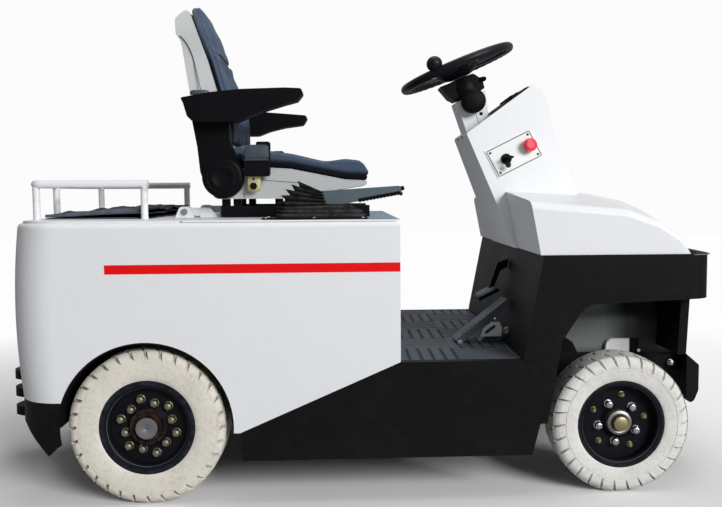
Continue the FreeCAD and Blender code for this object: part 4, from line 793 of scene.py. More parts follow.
def make_wheel_hardware(corner, end, side, body):
    """Nuts on their studs, in rings on the wheel's disc, and the turned parts round the hub."""
    middle, half, _ = wheel_place(corner)
    out = np.array([0, side, 0])
    face = middle + (half - DISC_IN[end]) * out
    for radius, first, count, across, tall, stud, proud, finish in WHEEL_NUTS[end]:
        turns = np.radians(first + 360 / count * np.arange(count))
        places = face + radius * np.stack([np.cos(turns), 0 * turns, np.sin(turns)], -1)
        tables = [standing(out, (math.cos(3 * t + i), 0, math.sin(3 * t + i))) for i, t in enumerate(turns)]
        nuts = nut_and_stud(across, tall, stud, proud).copies(tables, places)
        nuts.piece("%s_nuts_%d_%s" % (finish, round(radius * 1000), corner), body, finish, "pin_steel", sharp=30)
    for name, proud, around, finish, slot, profile in HUB_PARTS[end]:
        turned(profile, around).at(face + proud * out, out).piece(name + "_" + corner, body, finish, slot)


def make_barrel_ribs(corner, end, side, body):
    """Rolled steps of the rim's outer barrel, just inside the lip."""
    middle, half, _ = wheel_place(corner)
    steps = [(0.1098, 0), (0.1062, 0.001), (0.1050, 0.005), (0.1072, 0.009), (0.1040, 0.012), (0.1052, 0.017),
             (0.1085, 0.019), (0.1105, 0.0225), (0.1130, 0.0235), (0.1130, 0.0215)]
    ribs = turned(steps, 72).at(middle + np.array([0, side * (half - 0.0275), 0]), (0, side, 0))
    ribs.piece("rim_barrel_" + corner, body, "rim_" + end, "black_rim", sharp=50)


def make_wheels():
    """All four wheels' tyres and hardware."""
    for hand, side in (("left", 1), ("right", -1)):
        for end, lugs, bead, groove_floor in (("rear", 32, 0.127, 0.190), ("front", 30, 0.121, 0.163)):
            corner = end + "_" + hand
            body = frame["nodes"]["tyre_" + corner]["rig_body"]
            make_tyre(corner, end, lugs, bead, groove_floor, 0.75 * side, body)
            make_wheel_hardware(corner, end, side, body)
            make_barrel_ribs(corner, end, side, body)


# ---------------------------------------------------------------------------------------------
# Seat
# ---------------------------------------------------------------------------------------------
def mesh_points(mesh):
    """A mesh's points as an array."""
    flat = np.empty(len(mesh.vertices) * 3)
    mesh.vertices.foreach_get("co", flat)
    return flat.reshape(-1, 3)


def mesh_normals(mesh):
    """A mesh's point normals as an array."""
    flat = np.empty(len(mesh.vertices) * 3, np.float32)
    mesh.vertex_normals.foreach_get("vector", flat)
    return flat.reshape(-1, 3).astype(float)


def set_points(mesh, points):
    """Moves a mesh's points."""
    mesh.vertices.foreach_set("co", np.ascontiguousarray(points, np.float32).ravel())
    mesh.update()


def baked(holder):
    """The mesh of an object with its modifiers applied."""
    graph = bpy.context.evaluated_depsgraph_get()
    return bpy.data.meshes.new_from_object(holder.evaluated_get(graph), depsgraph=graph)


VOXEL = 0.006              # grain of a cushion's mesh
DRAWN_IN = 0.002           # how far its foam starts inside the cover
SWELL = 0.006              # the furthest a point moves under pressure
CLOTH_FRAMES = 20
CLOTH = (("quality", 5), ("mass", 0.2), ("tension_stiffness", 25), ("compression_stiffness", 25),
         ("shear_stiffness", 10), ("bending_stiffness", 2), ("use_pressure", True), ("uniform_pressure_force", 4))


def swell(work, start):
    """Moves an object's points from where they start to where cloth under pressure takes them."""
    cloth = work.modifiers.new("cloth", "CLOTH")
    for label, value in CLOTH:
        setattr(cloth.settings, label, value)
    cloth.settings.effector_weights.gravity = 0
    cloth.point_cache.frame_start, cloth.point_cache.frame_end = 1, CLOTH_FRAMES
    for step in range(1, CLOTH_FRAMES + 1):
        bpy.context.scene.frame_set(step)
    move = mesh_points(baked(work)) - start
    work.modifiers.clear()
    bpy.context.scene.frame_set(1)
    reach = np.linalg.norm(move, axis=1)[:, None]
    set_points(work.data, start + move * np.minimum(1, SWELL / np.maximum(reach, 1e-9)))


def stuffed(node, name, shape_foam, sew):
    """A stuffed piece grown from a plain CAD solid.

    The solid is remeshed, drawn in, and its foam shaped by shape_foam. Cloth under pressure then
    swells it between its edges. After one subdivision sew gives each point's depth of seam and
    its share of a dark band of painted shade.
    """
    work = bpy.data.objects.new(name + "_work", merged(frame["nodes"][node].data.copy(), 1e-5))
    bpy.context.collection.objects.link(work)
    remesh = work.modifiers.new("remesh", "REMESH")
    remesh.mode, remesh.voxel_size = "VOXEL", VOXEL
    dense = baked(work)
    work.modifiers.clear()
    work.data = dense
    start = shape_foam(mesh_points(dense) - DRAWN_IN * mesh_normals(dense))
    set_points(dense, start)
    swell(work, start)
    smooth = work.modifiers.new("smooth", "SUBSURF")
    smooth.levels = smooth.render_levels = 1
    final = baked(work)
    bpy.data.objects.remove(work)
    points, normals = mesh_points(final), mesh_normals(final)
    depth, band = sew(points, normals)
    set_points(final, points - depth[:, None] * normals)
    final.name = name
    body = frame["nodes"][node]["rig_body"]
    piece = put(name, final, body, "vinyl", sharp=180)
    set_attribute(final, band)
    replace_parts(piece, node)


BACK_EDGE = ((986, 187), (1051, 187), (1143, 166), (1244, 132), (1331, 99), (1411, 67))    # height, reach
BACK_CHANNELS = (1.060, 1.125, 1.190)      # heights
HEAD_SEAM = 1.262
SEAT_WELT = ((206, 918), (324, 918), (382, 914), (541, 882), (602, 879))      # reach, height
SEAT_CHANNELS = (300, 395, 490)            # reaches


def ahead_of_edge(x, z):
    """Distance ahead of the back shell's edge, a line that is straight between BACK_EDGE's points."""
    heights, reaches = np.array(BACK_EDGE, float).T
    return x - side_x(np.interp(z * 1000, heights, reaches))


def furrow(distance, width):
    """Depth share of a sewn line: 1 on it, falling as exp(-(d / width)^2)."""
    return np.exp(-(distance / width) ** 2)


def shape_back(points):
    """Foam of the backrest: bolsters stand out below, and a head pad above them."""
    x, y, z = points.T
    front = smooth_step(ahead_of_edge(x, z), 0.012, 0.035)
    side = np.abs(y)
    waist = smooth_step(side, 0.085, 0.135)
    low = smooth_step(z, HEAD_SEAM + 0.012, HEAD_SEAM - 0.012)
    hollow = 0.016 * low * (1 - waist) * smooth_step(z, 1.0, 1.06)
    set_back = 0.016 * (1 - low) * smooth_step(side, 0.08, 0.14)
    swell = 0.015 * smooth_step(z, HEAD_SEAM - 0.04, HEAD_SEAM + 0.01) * smooth_step(z, 1.39, 1.29)
    moved = points.copy()
    moved[:, 0] -= front * (hollow + set_back - swell)
    return moved


def sew_back(points, normals):
    """Seams of the backrest: the side band, the head pad and the channels across the middle, and its painted shade.
    """
    x, y, z = points.T
    reach = ahead_of_edge(x, z)
    side = np.abs(y)
    facing = smooth_step(normals[:, 0], 0.2, 0.6)
    depth = 0.0035 * furrow(reach - 0.021, 0.003)
    slant = z - HEAD_SEAM - 0.35 * (0.045 - reach)
    depth += 0.005 * furrow(slant, 0.004) * smooth_step(reach, 0.015, 0.03)
    for height in BACK_CHANNELS:
        depth += 0.0045 * furrow(z - height, 0.004) * (1 - smooth_step(side, 0.09, 0.105)) * facing
    depth += 0.004 * furrow(side - 0.108, 0.004) * facing * smooth_step(z, 1.0, 1.02)
    crease = 0.0026 * np.sin(90 * z + 14 * y) * furrow(slant - 0.02, 0.02) * smooth_step(reach, 0.02, 0.04)
    # painted shade: dark along the shell's edge and on the lower backrest below the armrests
    edge = smooth_step(reach, 0.016, 0.009) * smooth_step(z, 1.36, 1.22)
    return depth + crease, np.maximum(edge, 0.75 * smooth_step(z, 1.10, 1.05))


def shape_seat(points):
    """Foam of the seat: a shallow middle between side bolsters."""
    x, y, z = points.T
    low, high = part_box("seat_cushion")
    top = smooth_step(z, low[2] + 0.02, low[2] + 0.05)
    middle = 1 - smooth_step(np.abs(y), 0.12, 0.175)
    rear = smooth_step(x, high[0] - 0.06, high[0] - 0.14)
    moved = points.copy()
    moved[:, 2] -= 0.014 * top * middle * rear
    moved[:, 0] += 0.010 * smooth_step(x, high[0] - 0.070, high[0] - 0.012)
    return moved


def sew_seat(points, normals):
    """Seams of the seat: a welt round the lower edge, the bolster lines and three channels, and its painted shade.
    """
    x, y, z = points.T
    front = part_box("seat_cushion")[1][0]
    up = smooth_step(normals[:, 2], 0.3, 0.7)
    reaches, heights = np.array(SEAT_WELT, float).T
    rise = z - np.interp(x, side_x(reaches), heights / 1000)
    depth = 0.003 * furrow(rise - 0.016, 0.003) * (1 - up)
    depth += 0.0045 * furrow(np.abs(y) - 0.150, 0.004) * up * smooth_step(x, front - 0.02, front - 0.05)
    for reach in SEAT_CHANNELS:
        depth += 0.0045 * furrow(x - side_x(reach), 0.004) * up * (1 - smooth_step(np.abs(y), 0.140, 0.152))
    # painted shade: dark low on the cushion's sides, fading upwards from the pan
    return depth, smooth_step(rise, 0.034, 0.013)


def make_cushions():
    """The seat's two stuffed pieces."""
    stuffed("backrest_cushion", "back_pad", shape_back, sew_back)
    stuffed("seat_cushion", "seat_pad", shape_seat, sew_seat)


def ribbon(places, width, thick, out):
    """A thin strip laid along a run of places on a face whose outward direction is out."""
    path = np.asarray(places, float)
    along = unit(path[-1] - path[0])
    return swept(path, rounded(thick / 2, width / 2, 4.0, 8), up=unit(np.cross(np.asarray(out, float), along)))


PAN_SEAMS = (((250, 884), (300, 882), (345, 878), (408, 873)), ((240, 845), (246, 828)))    # reach, height
PAN_LIP = ((262, 916.5), (324, 916.5), (382, 913), (541, 881), (603, 878))
SHELL_SEAM = ((50, 1316), (80, 1290), (88, 1262), (104, 1200), (121, 1142))
RECLINER_DISC = ((0, 0), (0.056, 0), (0.056, 0.001), (0.052, 0.004), (0.046, 0.0045), (0.044, 0.003),
                 (0.030, 0.0045), (0.028, 0.0032), (0, 0.0036))      # radius, height


def make_seat_trim():
    """Seam lines of shell and pan, hinge caps, belt brackets and bolts on both sides."""
    seams, lips, metal, bolts, faces, caps, discs, shell_seams = (Shape() for _ in range(8))
    pan, buckle, cover = (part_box(node)[1][1] for node in ("seat_pan", "belt_buckles", "recliner_covers"))
    bracket_x, bracket_y = side_x(276), 0.2665
    for side in SIDES:
        out = (0, side, 0)
        for run in PAN_SEAMS:
            seams.add(ribbon(on_side(run, side * (pan + 0.0002)), 0.0016, 0.0014, out))
        lips.add(ribbon(on_side(PAN_LIP, side * (pan - 0.0038)), 0.003, 0.009, out))
        metal.add(block((0.040, 0.058, 0.004), 5.0, 0.2).at((bracket_x, side * bracket_y, 0.877), out))
        tongue = block((0.034, 0.012, 0.004), 5.0, 0.2)
        metal.add(tongue.at((bracket_x + 0.030, side * bracket_y, 0.904), out, (1, 0, 0.15)))
        bolts.add(hex_head(0.019, 0.008).at((bracket_x - 0.001, side * (bracket_y + 0.0035), 0.864), out))
        bolts.add(drum(0.0035, 0, 0.0008, 16).at((bracket_x - 0.001, side * (bracket_y + 0.0035), 0.884), out))
        bolts.add(hex_head(0.012, 0.007).at((side_x(235), side * 0.2605, 0.952), out))
        # painted highlight: blue-grey plates on the buckle's lit face and a pale strip along its edge
        faces.add(block((0.070, 0.042, 0.0034), 6.0, 0.3).at((side_x(287), side * (buckle + 0.0006), 0.962), out))
        faces.add(block((0.074, 0.0035, 0.0046), 6.0, 0.3).at((side_x(286), side * (buckle + 0.0006), 0.939), out))
        caps.add(block((0.056, 0.030, 0.013), 3.0, 0.4).at((side_x(124), side * 0.262, 1.129)))
        discs.add(turned(RECLINER_DISC, 48).at((side_x(187), side * (cover - 0.0005), 0.890), out))
        reach, height = bezier(SHELL_SEAM, 14).T
        half = side * np.interp(height, (1142, 1250, 1335), (0.2215, 0.164, 0.1525))
        shell_seams.add(ribbon(np.stack([side_x(reach), half, height / 1000], -1), 0.0022, 0.0035, (0, side, 0.4)))
    for shape, name, finish, slot, sharp in (
            (seams, "seat_seams", "seam", "black_plastic", 35), (lips, "pan_edge", "grey", "grey_plastic", 35),
            (metal, "belt_brackets", "yellow", "pin_steel", 35), (bolts, "seat_bolts", "black", "black_paint", 30),
            (faces, "buckle_painted_highlight", "pedal", "black_plastic", 35),
            (caps, "armrest_hinges", "pedal", "black_plastic", 35),
            (discs, "recliner_discs", "plastic", "black_plastic", 35),
            (shell_seams, "shell_seams", "seam", "black_plastic", 35)):
        shape.piece(name, "seat_deck", finish, slot, sharp)


PLEATS = 5
BOOT_PIVOT = (0.466, 0.801)      # reach from the rear axle and height of the fan's meeting point
LEVER_Y = sum(c[1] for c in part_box("lever_boot")) / 2


def boot_sections():
    """Side view of the bellows, one row a fold: rear tip, front tip, half width, 1 on a ridge.

    The loose folds lie along the base, and above them each pleat is a valley and a ridge whose
    rear tips lie on rays about the pivot and whose front tips meet.
    """
    rows = [(0.350, 0.7765, 0.598, 0.7765, 0.0380, 0), (0.352, 0.7860, 0.599, 0.7840, 0.0380, 1),
            (0.362, 0.7880, 0.590, 0.7870, 0.0350, 0), (0.351, 0.7960, 0.588, 0.7950, 0.0375, 1),
            (0.362, 0.7985, 0.572, 0.8000, 0.0340, 0), (0.354, 0.8040, 0.560, 0.8090, 0.0350, 1),
            (0.362, 0.8060, 0.530, 0.8125, 0.0320, 0)]
    for share in np.linspace(0, 1, PLEATS):
        for valley in (1, 0):
            angle = math.radians(172 - 46 * share + 5 * valley)
            reach = 0.113 - 0.020 * share - 0.019 * valley
            rows.append((BOOT_PIVOT[0] + reach * math.cos(angle), BOOT_PIVOT[1] + reach * math.sin(angle),
                         0.492 - 0.010 * share - 0.006 * valley, 0.8135 + 0.031 * share - 0.003 * valley,
                         0.035 - 0.005 * share - 0.006 * valley, 1 - valley))
    rows.append((0.430, 0.866, 0.464, 0.849, 0.020, 0))
    return np.array(rows)


def make_boot():
    """Bellows of the parking brake: rounded loops from fold to fold, fanning round their hinge.

    Row v is a fold, column u runs round it: the place is the middle of the fold's two tips plus
    cos(u) of half its length and sin(u) of its half width, both squared up by a power.
    """
    rows = boot_sections()
    back, front, half = rows[:, :2], rows[:, 2:4], rows[:, 4:5]
    loop = rounded(1.0, 1.0, 7.0, 48)
    middle, reach = (back + front) / 2, (front - back) / 2
    x = REAR_X + middle[:, :1] + reach[:, :1] * loop[:, 0]
    z = middle[:, 1:] + reach[:, 1:] * loop[:, 0]
    points = np.stack([x, LEVER_Y + half * loop[:, 1], z], -1)
    piece = closed_tube(points).piece("boot_bellows", "seat_deck", "bellows", "black_rubber", sharp=70)
    places, ridges = mesh_points(piece.data), points[rows[:, 5] > 0].reshape(-1, 3)
    on_ridge = np.linalg.norm(places[:, None] - ridges, axis=2).min(axis=1) < 1e-4
    # the cut number marks the fold ridges for the painted highlight
    set_attribute(piece.data, on_ridge * smooth_step(np.abs(places[:, 1] - LEVER_Y) / half.max(), 0.2, 0.8))
    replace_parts(piece, "lever_boot")
    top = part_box("lever_base")[1][2]
    spots = [(side_x(reach), LEVER_Y + aside, top) for reach in (326, 456, 588) for aside in (-0.041, 0.041)]
    dome_screw(0.0050, 0.0028).dotted(spots).piece("boot_screws", "seat_deck", "steel", "pin_steel")


def make_lever_tip():
    """Brake lever's grip: the two stubs of its release at the end, and the finger ridges below."""
    low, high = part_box("brake_lever")
    end = np.array([high[0] - 0.004, LEVER_Y, high[2] - 0.012])
    shape = Shape()
    for lift, aside, long, radius in ((0.004, -0.006, 0.012, 0.0062), (-0.010, 0.005, 0.008, 0.0055)):
        stub = turned([(0, 0), (radius, 0), (radius, long - 0.002), (radius * 0.6, long), (0, long)], 16)
        shape.add(stub.at(end + (0, aside, lift), (0.97, 0, 0.19)))
    share = (np.arange(12) + 0.5) / 12
    places = np.stack([low[0] + 0.115 + 0.115 * share, LEVER_Y + 0 * share, low[2] + 0.0095 + 0.0205 * share], -1)
    shape.add(drum(0.0058, -0.0165, 0.0165, 12).at((0, 0, 0), (0, 1, 0)).dotted(places))
    shape.piece("lever_grip_end", "seat_deck", "plastic", "black_plastic")


# ---------------------------------------------------------------------------------------------
# Steering
# ---------------------------------------------------------------------------------------------
WHEEL_PLACE, WHEEL_UP = joint("steering_wheel_turn")
WHEEL_TABLE = standing(WHEEL_UP)
HAND_RING, GRIP = 0.179, 0.014      # radius of the ring's middle line and of its tube


def from_wheel(*offset):
    """Place given from the steering wheel's centre along the wheel's own X, Y and Z."""
    return WHEEL_PLACE + np.array(offset) @ WHEEL_TABLE


def make_steering_wheel():
    """Steering wheel: a ring with finger waves, three spokes that flare into it, hub pad and knob.

    The ring is a tube round a circle. Its radius is GRIP (1 - 0.09 under (0.5 + 0.5 cos 40 u)),
    where under is 1 on the lower inner side, so that the fingers find a hold. A spoke runs from
    s = 0 at the hub to s = 1 in the ring, widens as s^6, thickens as s^4 and rises as s^3.
    """
    u = np.linspace(0, 2 * np.pi, 240, endpoint=False)[:, None]
    v = np.linspace(0, 2 * np.pi, 20, endpoint=False)[None]
    under = smooth_step(-np.sin(v + 0.6), 0.1, 0.9)
    tube = GRIP * (1 - 0.09 * under * (0.5 + 0.5 * np.cos(40 * u)))
    radius = HAND_RING + tube * np.cos(v)
    ring = np.stack([radius * np.cos(u), radius * np.sin(u), tube * np.sin(v)], -1)
    shape = Shape().grid(ring, round_rows=True, round_cols=True)
    s = np.linspace(0, 1, 14)[:, None]
    across, up = rounded(1.0, 1.0, 3.5, 20).T
    half = 0.027 - 0.008 * np.sin(np.pi * s) + 0.016 * s ** 6
    thick = 0.0058 + 0.002 * s ** 4
    dip = -0.012 + 0.009 * s ** 3
    reach = 0.045 + (HAND_RING - 0.045) * s + 0 * across
    spoke = closed_tube(np.stack([reach, half * across, dip + thick * up], -1))
    shape.add(spoke.copies([about_z(degrees) for degrees in (0, 90, -90)], [(0, 0, 0)] * 3))
    hub = [(0, -0.029), (0.036, -0.029), (0.046, -0.026), (0.064, -0.016), (0.070, -0.008), (0.0705, 0.0),
           (0.067, 0.0055), (0.058, 0.0085), (0.050, 0.009), (0.048, 0.0075), (0.046, 0.009), (0.0, 0.0115)]
    shape.add(turned(hub, 56))
    wheel = shape.laid(WHEEL_TABLE, WHEEL_PLACE)
    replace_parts(wheel.piece("hand_wheel", "steering_wheel", "grip", "black_plastic", sharp=50), "steering_wheel")
    turn = math.radians(241)
    spot = from_wheel(HAND_RING * math.cos(turn), HAND_RING * math.sin(turn), 0)
    t = np.linspace(-1.2, np.pi / 2, 14)
    ball = [(0, 0.004), (0.010, 0.004), (0.0085, 0.009), *zip(0.0245 * np.cos(t), 0.0262 + 0.0235 * np.sin(t))]
    knob = turned(ball, 32).laid(WHEEL_TABLE, spot)
    knob.piece("spinner_knob", "steering_wheel", "grip", "black_plastic", sharp=60)


def make_column_trim():
    """Switch cap and stub, the column's seam lines, and the screws of column and rear plate."""
    centre = from_wheel(-0.003, 0, -0.119)
    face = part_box("column_head")[0][1]
    dome = [(0, -0.008), (0.0385, -0.008), (0.0385, 0), (0.0360, 0.0045), (0.0300, 0.0075), (0.0265, 0.0085),
            (0.0255, 0.0072), (0.012, 0.0092), (0, 0.0095)]
    cap = turned(dome, 44).at((centre[0], face, centre[2]), (0, -1, 0), WHEEL_UP)
    cap.piece("switch_cap", "chassis", "plastic", "black_plastic")
    stub = turned([(0, 0), (0.009, 0), (0.0075, 0.022), (0.0048, 0.026), (0.0042, 0.020), (0, 0.020)], 16)
    stub = stub.at(from_wheel(0.050, -0.030, -0.062), (0.6, -0.75, 0.1))
    stub.piece("switch_stub", "chassis", "plastic", "black_plastic")
    low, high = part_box("steering_column")
    seams, screws = Shape(), Shape()
    for y, side in ((low[1], -1), (high[1], 1)):
        seams.add(ribbon(on_side(((955, 1105), (972, 1058)), y), 0.0016, 0.0012, (0, side, 0)))
        screws.add(dome_screw(0.0058, 0.0030).at((side_x(977), y, 1.092), (0, side, 0)))
        screws.add(dome_screw(0.0045, 0.0022).at((side_x(918.5), side * 0.045, 1.018), (-0.935, 0, -0.355)))
    seams.piece("column_seam", "chassis", "seam", "black_plastic")
    screws.piece("column_screws", "chassis", "plastic", "black_plastic")


# ---------------------------------------------------------------------------------------------
# Controls
# ---------------------------------------------------------------------------------------------
def plate_table():
    """The control plate's middle on its outer face, and its table: along, up, outward."""
    points = mesh_points(frame["nodes"]["control_plate"].data)
    middle = (points.max(0) + points.min(0)) / 2
    _, _, axes = np.linalg.svd(points - points.mean(0), full_matrices=False)
    along = axes[0] * np.sign(axes[0][0])
    out = axes[2] * -np.sign(axes[2][1])
    return middle + out * 0.0015, np.array([along, np.cross(out, along), out])


def corners(along, up):
    """Four places at plus and minus these distances from the middle."""
    return [(a * along, b * up, 0) for a in (-1, 1) for b in (-1, 1)]


def make_controls():
    """Border line, corner screws and key switch of the control plate, and the button's collar."""
    middle, table = plate_table()
    half, tall = 0.079, 0.0474                          # the plate's half length and half height
    long, high = half - 0.0045, tall - 0.0045           # the border's middle line
    border = Shape()
    for side in (-1, 1):
        border.add(block((2 * long, 0.0028, 0.0006), 8.0, 0.1, 16).at((0, side * high, 0)))
        border.add(block((0.0028, 2 * high, 0.0006), 8.0, 0.1, 16).at((side * long, 0, 0)))
    border.laid(table, middle).piece("plate_border", "chassis", "seam", "black_plastic")
    screws = dome_screw(0.0042, 0.0024).dotted(corners(half - 0.013, tall - 0.013))
    screws.laid(table, middle).piece("plate_screws", "chassis", "seam", "pin_steel")
    lock = turned([(0, 0), (0.0165, 0), (0.0165, 0.004), (0.0145, 0.0055), (0.0135, 0.010), (0.011, 0.0125),
                   (0, 0.0125)], 32)
    lock.add(block((0.0030, 0.020, 0.016), 6.0, 0.2, 16).at((0, 0, 0.0115)))
    lock.add(block((0.024, 0.0032, 0.030), 5.0, 0.25, 20).at((0.003, 0.0, 0.020)))
    fob = turned([(0, -0.0022), (0.0085, -0.0022), (0.0095, 0), (0.0085, 0.0022), (0, 0.0022)], 24)
    lock.add(fob.at((0.004, -0.022, 0.024), (0.2, 0.0, 1)))
    lock.add(swept(bezier([(0.003, 0, 0.048), (0.006, -0.012, 0.050), (0.004, -0.020, 0.030)], 10),
                   rounded(0.0016, 0.0016, 2.0, 8)))
    lock = lock.laid(about_z(-35) @ table, np.array([-0.030, -0.004, 0.0]) @ table + middle)
    lock.piece("key_switch", "chassis", "plastic", "black_plastic", sharp=40)
    collar = turned([(0.0122, 0), (0.0165, 0), (0.0165, 0.003), (0.0150, 0.0045), (0.0122, 0.0045)], 32)
    collar = collar.laid(table, np.array([0.0513, 0.0, 0.0]) @ table + middle)
    collar.piece("button_collar", "chassis", "plastic", "black_plastic")


def make_panel_trim():
    """Blank round covers and corner screws of the sloping instrument panel."""
    table = sloping((0.216, 0, 0.155))
    dial = turned([(0, 0), (0.026, 0), (0.026, 0.003), (0.024, 0.0045), (0.0225, 0.003), (0, 0.003)], 40)
    trim = dial.dotted([(0.022, -0.038, 0), (0.022, 0.038, 0)])
    trim.add(dome_screw(0.004, 0.002).dotted(corners(0.062, 0.082)))
    trim = trim.laid(table, np.mean(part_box("instrument_panel"), axis=0) + 0.0024 * table[2])
    trim.piece("panel_dials", "chassis", "plastic", "black_plastic")


def make_pedal_trim():
    """Accelerator's foot rubber, sensor cover and pivot bolts, and the brake pedal's rubber."""
    ribs = block((0.007, 0.070, 0.0016), 6.0, 0.2, 16).dotted([(-0.075 + 0.015 * i, 0, 0) for i in range(11)])
    ribs = ribs.laid(sloping((0.148, 0, 0.113)), (side_x(957), -0.190, 0.4605))
    ribs.piece("accelerator_ribs", "chassis", "pedal", "black_rubber")
    pad = block((0.070, 0.086, 0.006), 5.0, 0.2)
    pad.add(block((0.006, 0.076, 0.0016), 6.0, 0.2, 16).dotted([(-0.026 + 0.013 * i, 0, 0.0040) for i in range(5)]))
    pad = pad.laid(sloping((0.064, 0, 0.031)), (side_x(993), -0.066, 0.522))
    pad.piece("brake_pad_rubber", "chassis", "lever", "lever_grey")
    outline = np.array([(950, 403), (955, 425), (982, 449), (1008, 448), (1016, 428), (1013, 403)], float)
    halfway = (outline + np.roll(outline, -1, 0)) / 2
    outline = np.stack([outline, halfway], axis=1).reshape(-1, 2)
    cover = slab(outline, ((1, -0.2125), (1, -0.2260), (0.93, -0.2285)))
    cover.piece("sensor_cover", "chassis", "silver", "grey_plastic", sharp=40)
    out = (0, -1, 0)
    slot = block((0.040, 0.011, 0.0012), 4.0, 0.3, 20).at((side_x(978), -0.2282, 0.426), out, (0.8, 0, 0.6))
    slot.piece("sensor_slot", "chassis", "blue", "black_plastic")
    can = turned([(0, 0), (0.015, 0), (0.017, 0.003), (0.017, 0.030), (0.014, 0.034), (0, 0.034)], 28)
    can = can.at((side_x(1030), -0.216, 0.414), (0.55, -0.75, 0.2))
    can.piece("pedal_switch", "chassis", "brass", "pin_steel")
    bolts = hex_head(0.015, 0.008).at((side_x(886), -0.2300, 0.3875), out)
    bolts.add(dome_screw(0.0055, 0.004).at((side_x(993), -0.2295, 0.458), out))
    bolts.add(dome_screw(0.0045, 0.004).at((side_x(962), -0.2125, 0.400), out))
    bolts.piece("pedal_bolts", "chassis", "steel", "pin_steel", sharp=30)


# ---------------------------------------------------------------------------------------------
# Mat, cover and body trim
# ---------------------------------------------------------------------------------------------
def make_mat():
    """Ribbed floor mat: squares of ribs, turned a quarter from one square to the next.

    Height = top less the groove, where the groove is 1 in the last part of a rib's pitch, along X
    in even squares and along Y in odd ones. A wall and a bottom close it.
    """
    low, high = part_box("floor_mat")
    tile, pitch, rib, deep = 0.165, 0.033, 0.70, 0.003      # square, rib to rib, a rib's share of that, groove
    step, inset = 0.00275, 0.0005
    x, y = (np.arange(low[i] + inset, high[i] - inset, step) for i in (0, 1))
    gx, gy = np.meshgrid(x, y, indexing="ij")
    across, along = gx - low[0], gy - low[1]
    square = (np.floor(across / tile) + np.floor(along / tile)) % 2
    inside = np.where(square < 1, across % tile, along % tile)
    surface = np.stack([gx, gy, high[2] - deep * (inside % pitch >= rib * pitch)], -1)
    edge = np.concatenate([surface[:, 0], surface[-1, 1:], surface[-2::-1, -1], surface[0, -2:0:-1]])
    foot = edge * (1, 1, 0) + (0, 0, low[2] + inset)
    shape = Shape().grid(surface)
    shape.grid(np.stack([edge, foot, np.broadcast_to(foot.mean(0), foot.shape)]), round_cols=True)
    piece = shape.piece("ribbed_mat", "chassis", "mat", "black_rubber", sharp=25)
    # the cut number, 0 to 1 with a groove's depth, sets the painted shade in the grooves
    set_attribute(piece.data, smooth_step(high[2] - mesh_points(piece.data)[:, 2], 0.0005, deep))
    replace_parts(piece, "floor_mat")


COVER_LAYERS = 3
COVER_SHEET = 0.0034     # its thickness


def make_cover():
    """Battery cover folded in three on the rear deck: one sheet led to and fro across it.

    Along the fold direction the sheet runs straight and then round a half turn of radius r, so
    its distance s from the first edge gives side place and height. Creases lift it by a sum of
    slanting waves that fades to the folds, and it sinks towards its rear edge.
    """
    low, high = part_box("battery_cover")
    radius = (high[2] - low[2] - COVER_SHEET) / (2 * (COVER_LAYERS - 1)) - 0.0002
    run = (high[1] - low[1]) / 2 - radius - 0.004
    flat, turn = np.linspace(-1, 1, 70), np.linspace(0, np.pi, 9)[1:-1]
    y, z = [], []
    for layer in range(COVER_LAYERS):
        hand, level = (-1) ** layer, COVER_SHEET / 2 + 2 * radius * layer
        y += [hand * run * flat, hand * (run + radius * np.sin(turn))]
        z += [level + 0 * flat, level + radius - radius * np.cos(turn)]
    y, z = np.concatenate(y[:-1]), np.concatenate(z[:-1])      # no fold after the last layer
    s = np.concatenate([[0], np.cumsum(np.hypot(np.diff(y), np.diff(z)))])
    x = np.linspace(low[0] + 0.004, high[0] - 0.004, 60)
    gx, gs = np.meshgrid(x, s, indexing="ij")
    gy, gz = np.broadcast_to(y, gx.shape), np.broadcast_to(z, gx.shape)
    last = 2 * radius * (COVER_LAYERS - 1)                      # the top layer's height over the lowest
    under, top = smooth_step(gz, radius, 2 * radius), smooth_step(gz, last - radius, last)
    fade = 1 - smooth_step(np.abs(gy), run * 0.75, run)
    press = smooth_step(gx, low[0] - 0.02, high[0] - 0.05)
    crease = (1 - 1.6 * np.abs(np.sin(19 * gx + 11 * gy + 1.5 * np.sin(9 * gy)))
              + 0.7 * np.sin(41 * gx - 23 * gy + 1.0) + 0.6 * (1 - 2 * np.abs(np.sin(13 * gy + 24 * gx))))
    lift = (0.0030 + 0.0030 * press) * crease * fade * (0.3 * under + 0.7 * top)
    gz = np.minimum(low[2] + gz * (0.55 + 0.80 * press) + lift, high[2] + 0.0095)
    ragged = 0.004 * np.sin(21 * gy + gs * 5) + 0.003 * np.sin(47 * gy)
    from_middle = gx - (low[0] + high[0]) / 2
    gx = gx + ragged * smooth_step(np.abs(from_middle), 0.11, 0.15) * np.sign(from_middle)
    shape = Shape().grid(np.stack([gx, gy, gz], -1))
    mesh_piece = shape.piece("folded_cover", "chassis", "cover", "black_rubber", sharp=60)
    # the cut number marks the fold edges for the painted highlight
    set_attribute(mesh_piece.data, np.abs(mesh_points(mesh_piece.data)[:, 1]) > run - 0.002)
    thicken(mesh_piece, COVER_SHEET, 0)
    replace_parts(mesh_piece, "battery_cover")


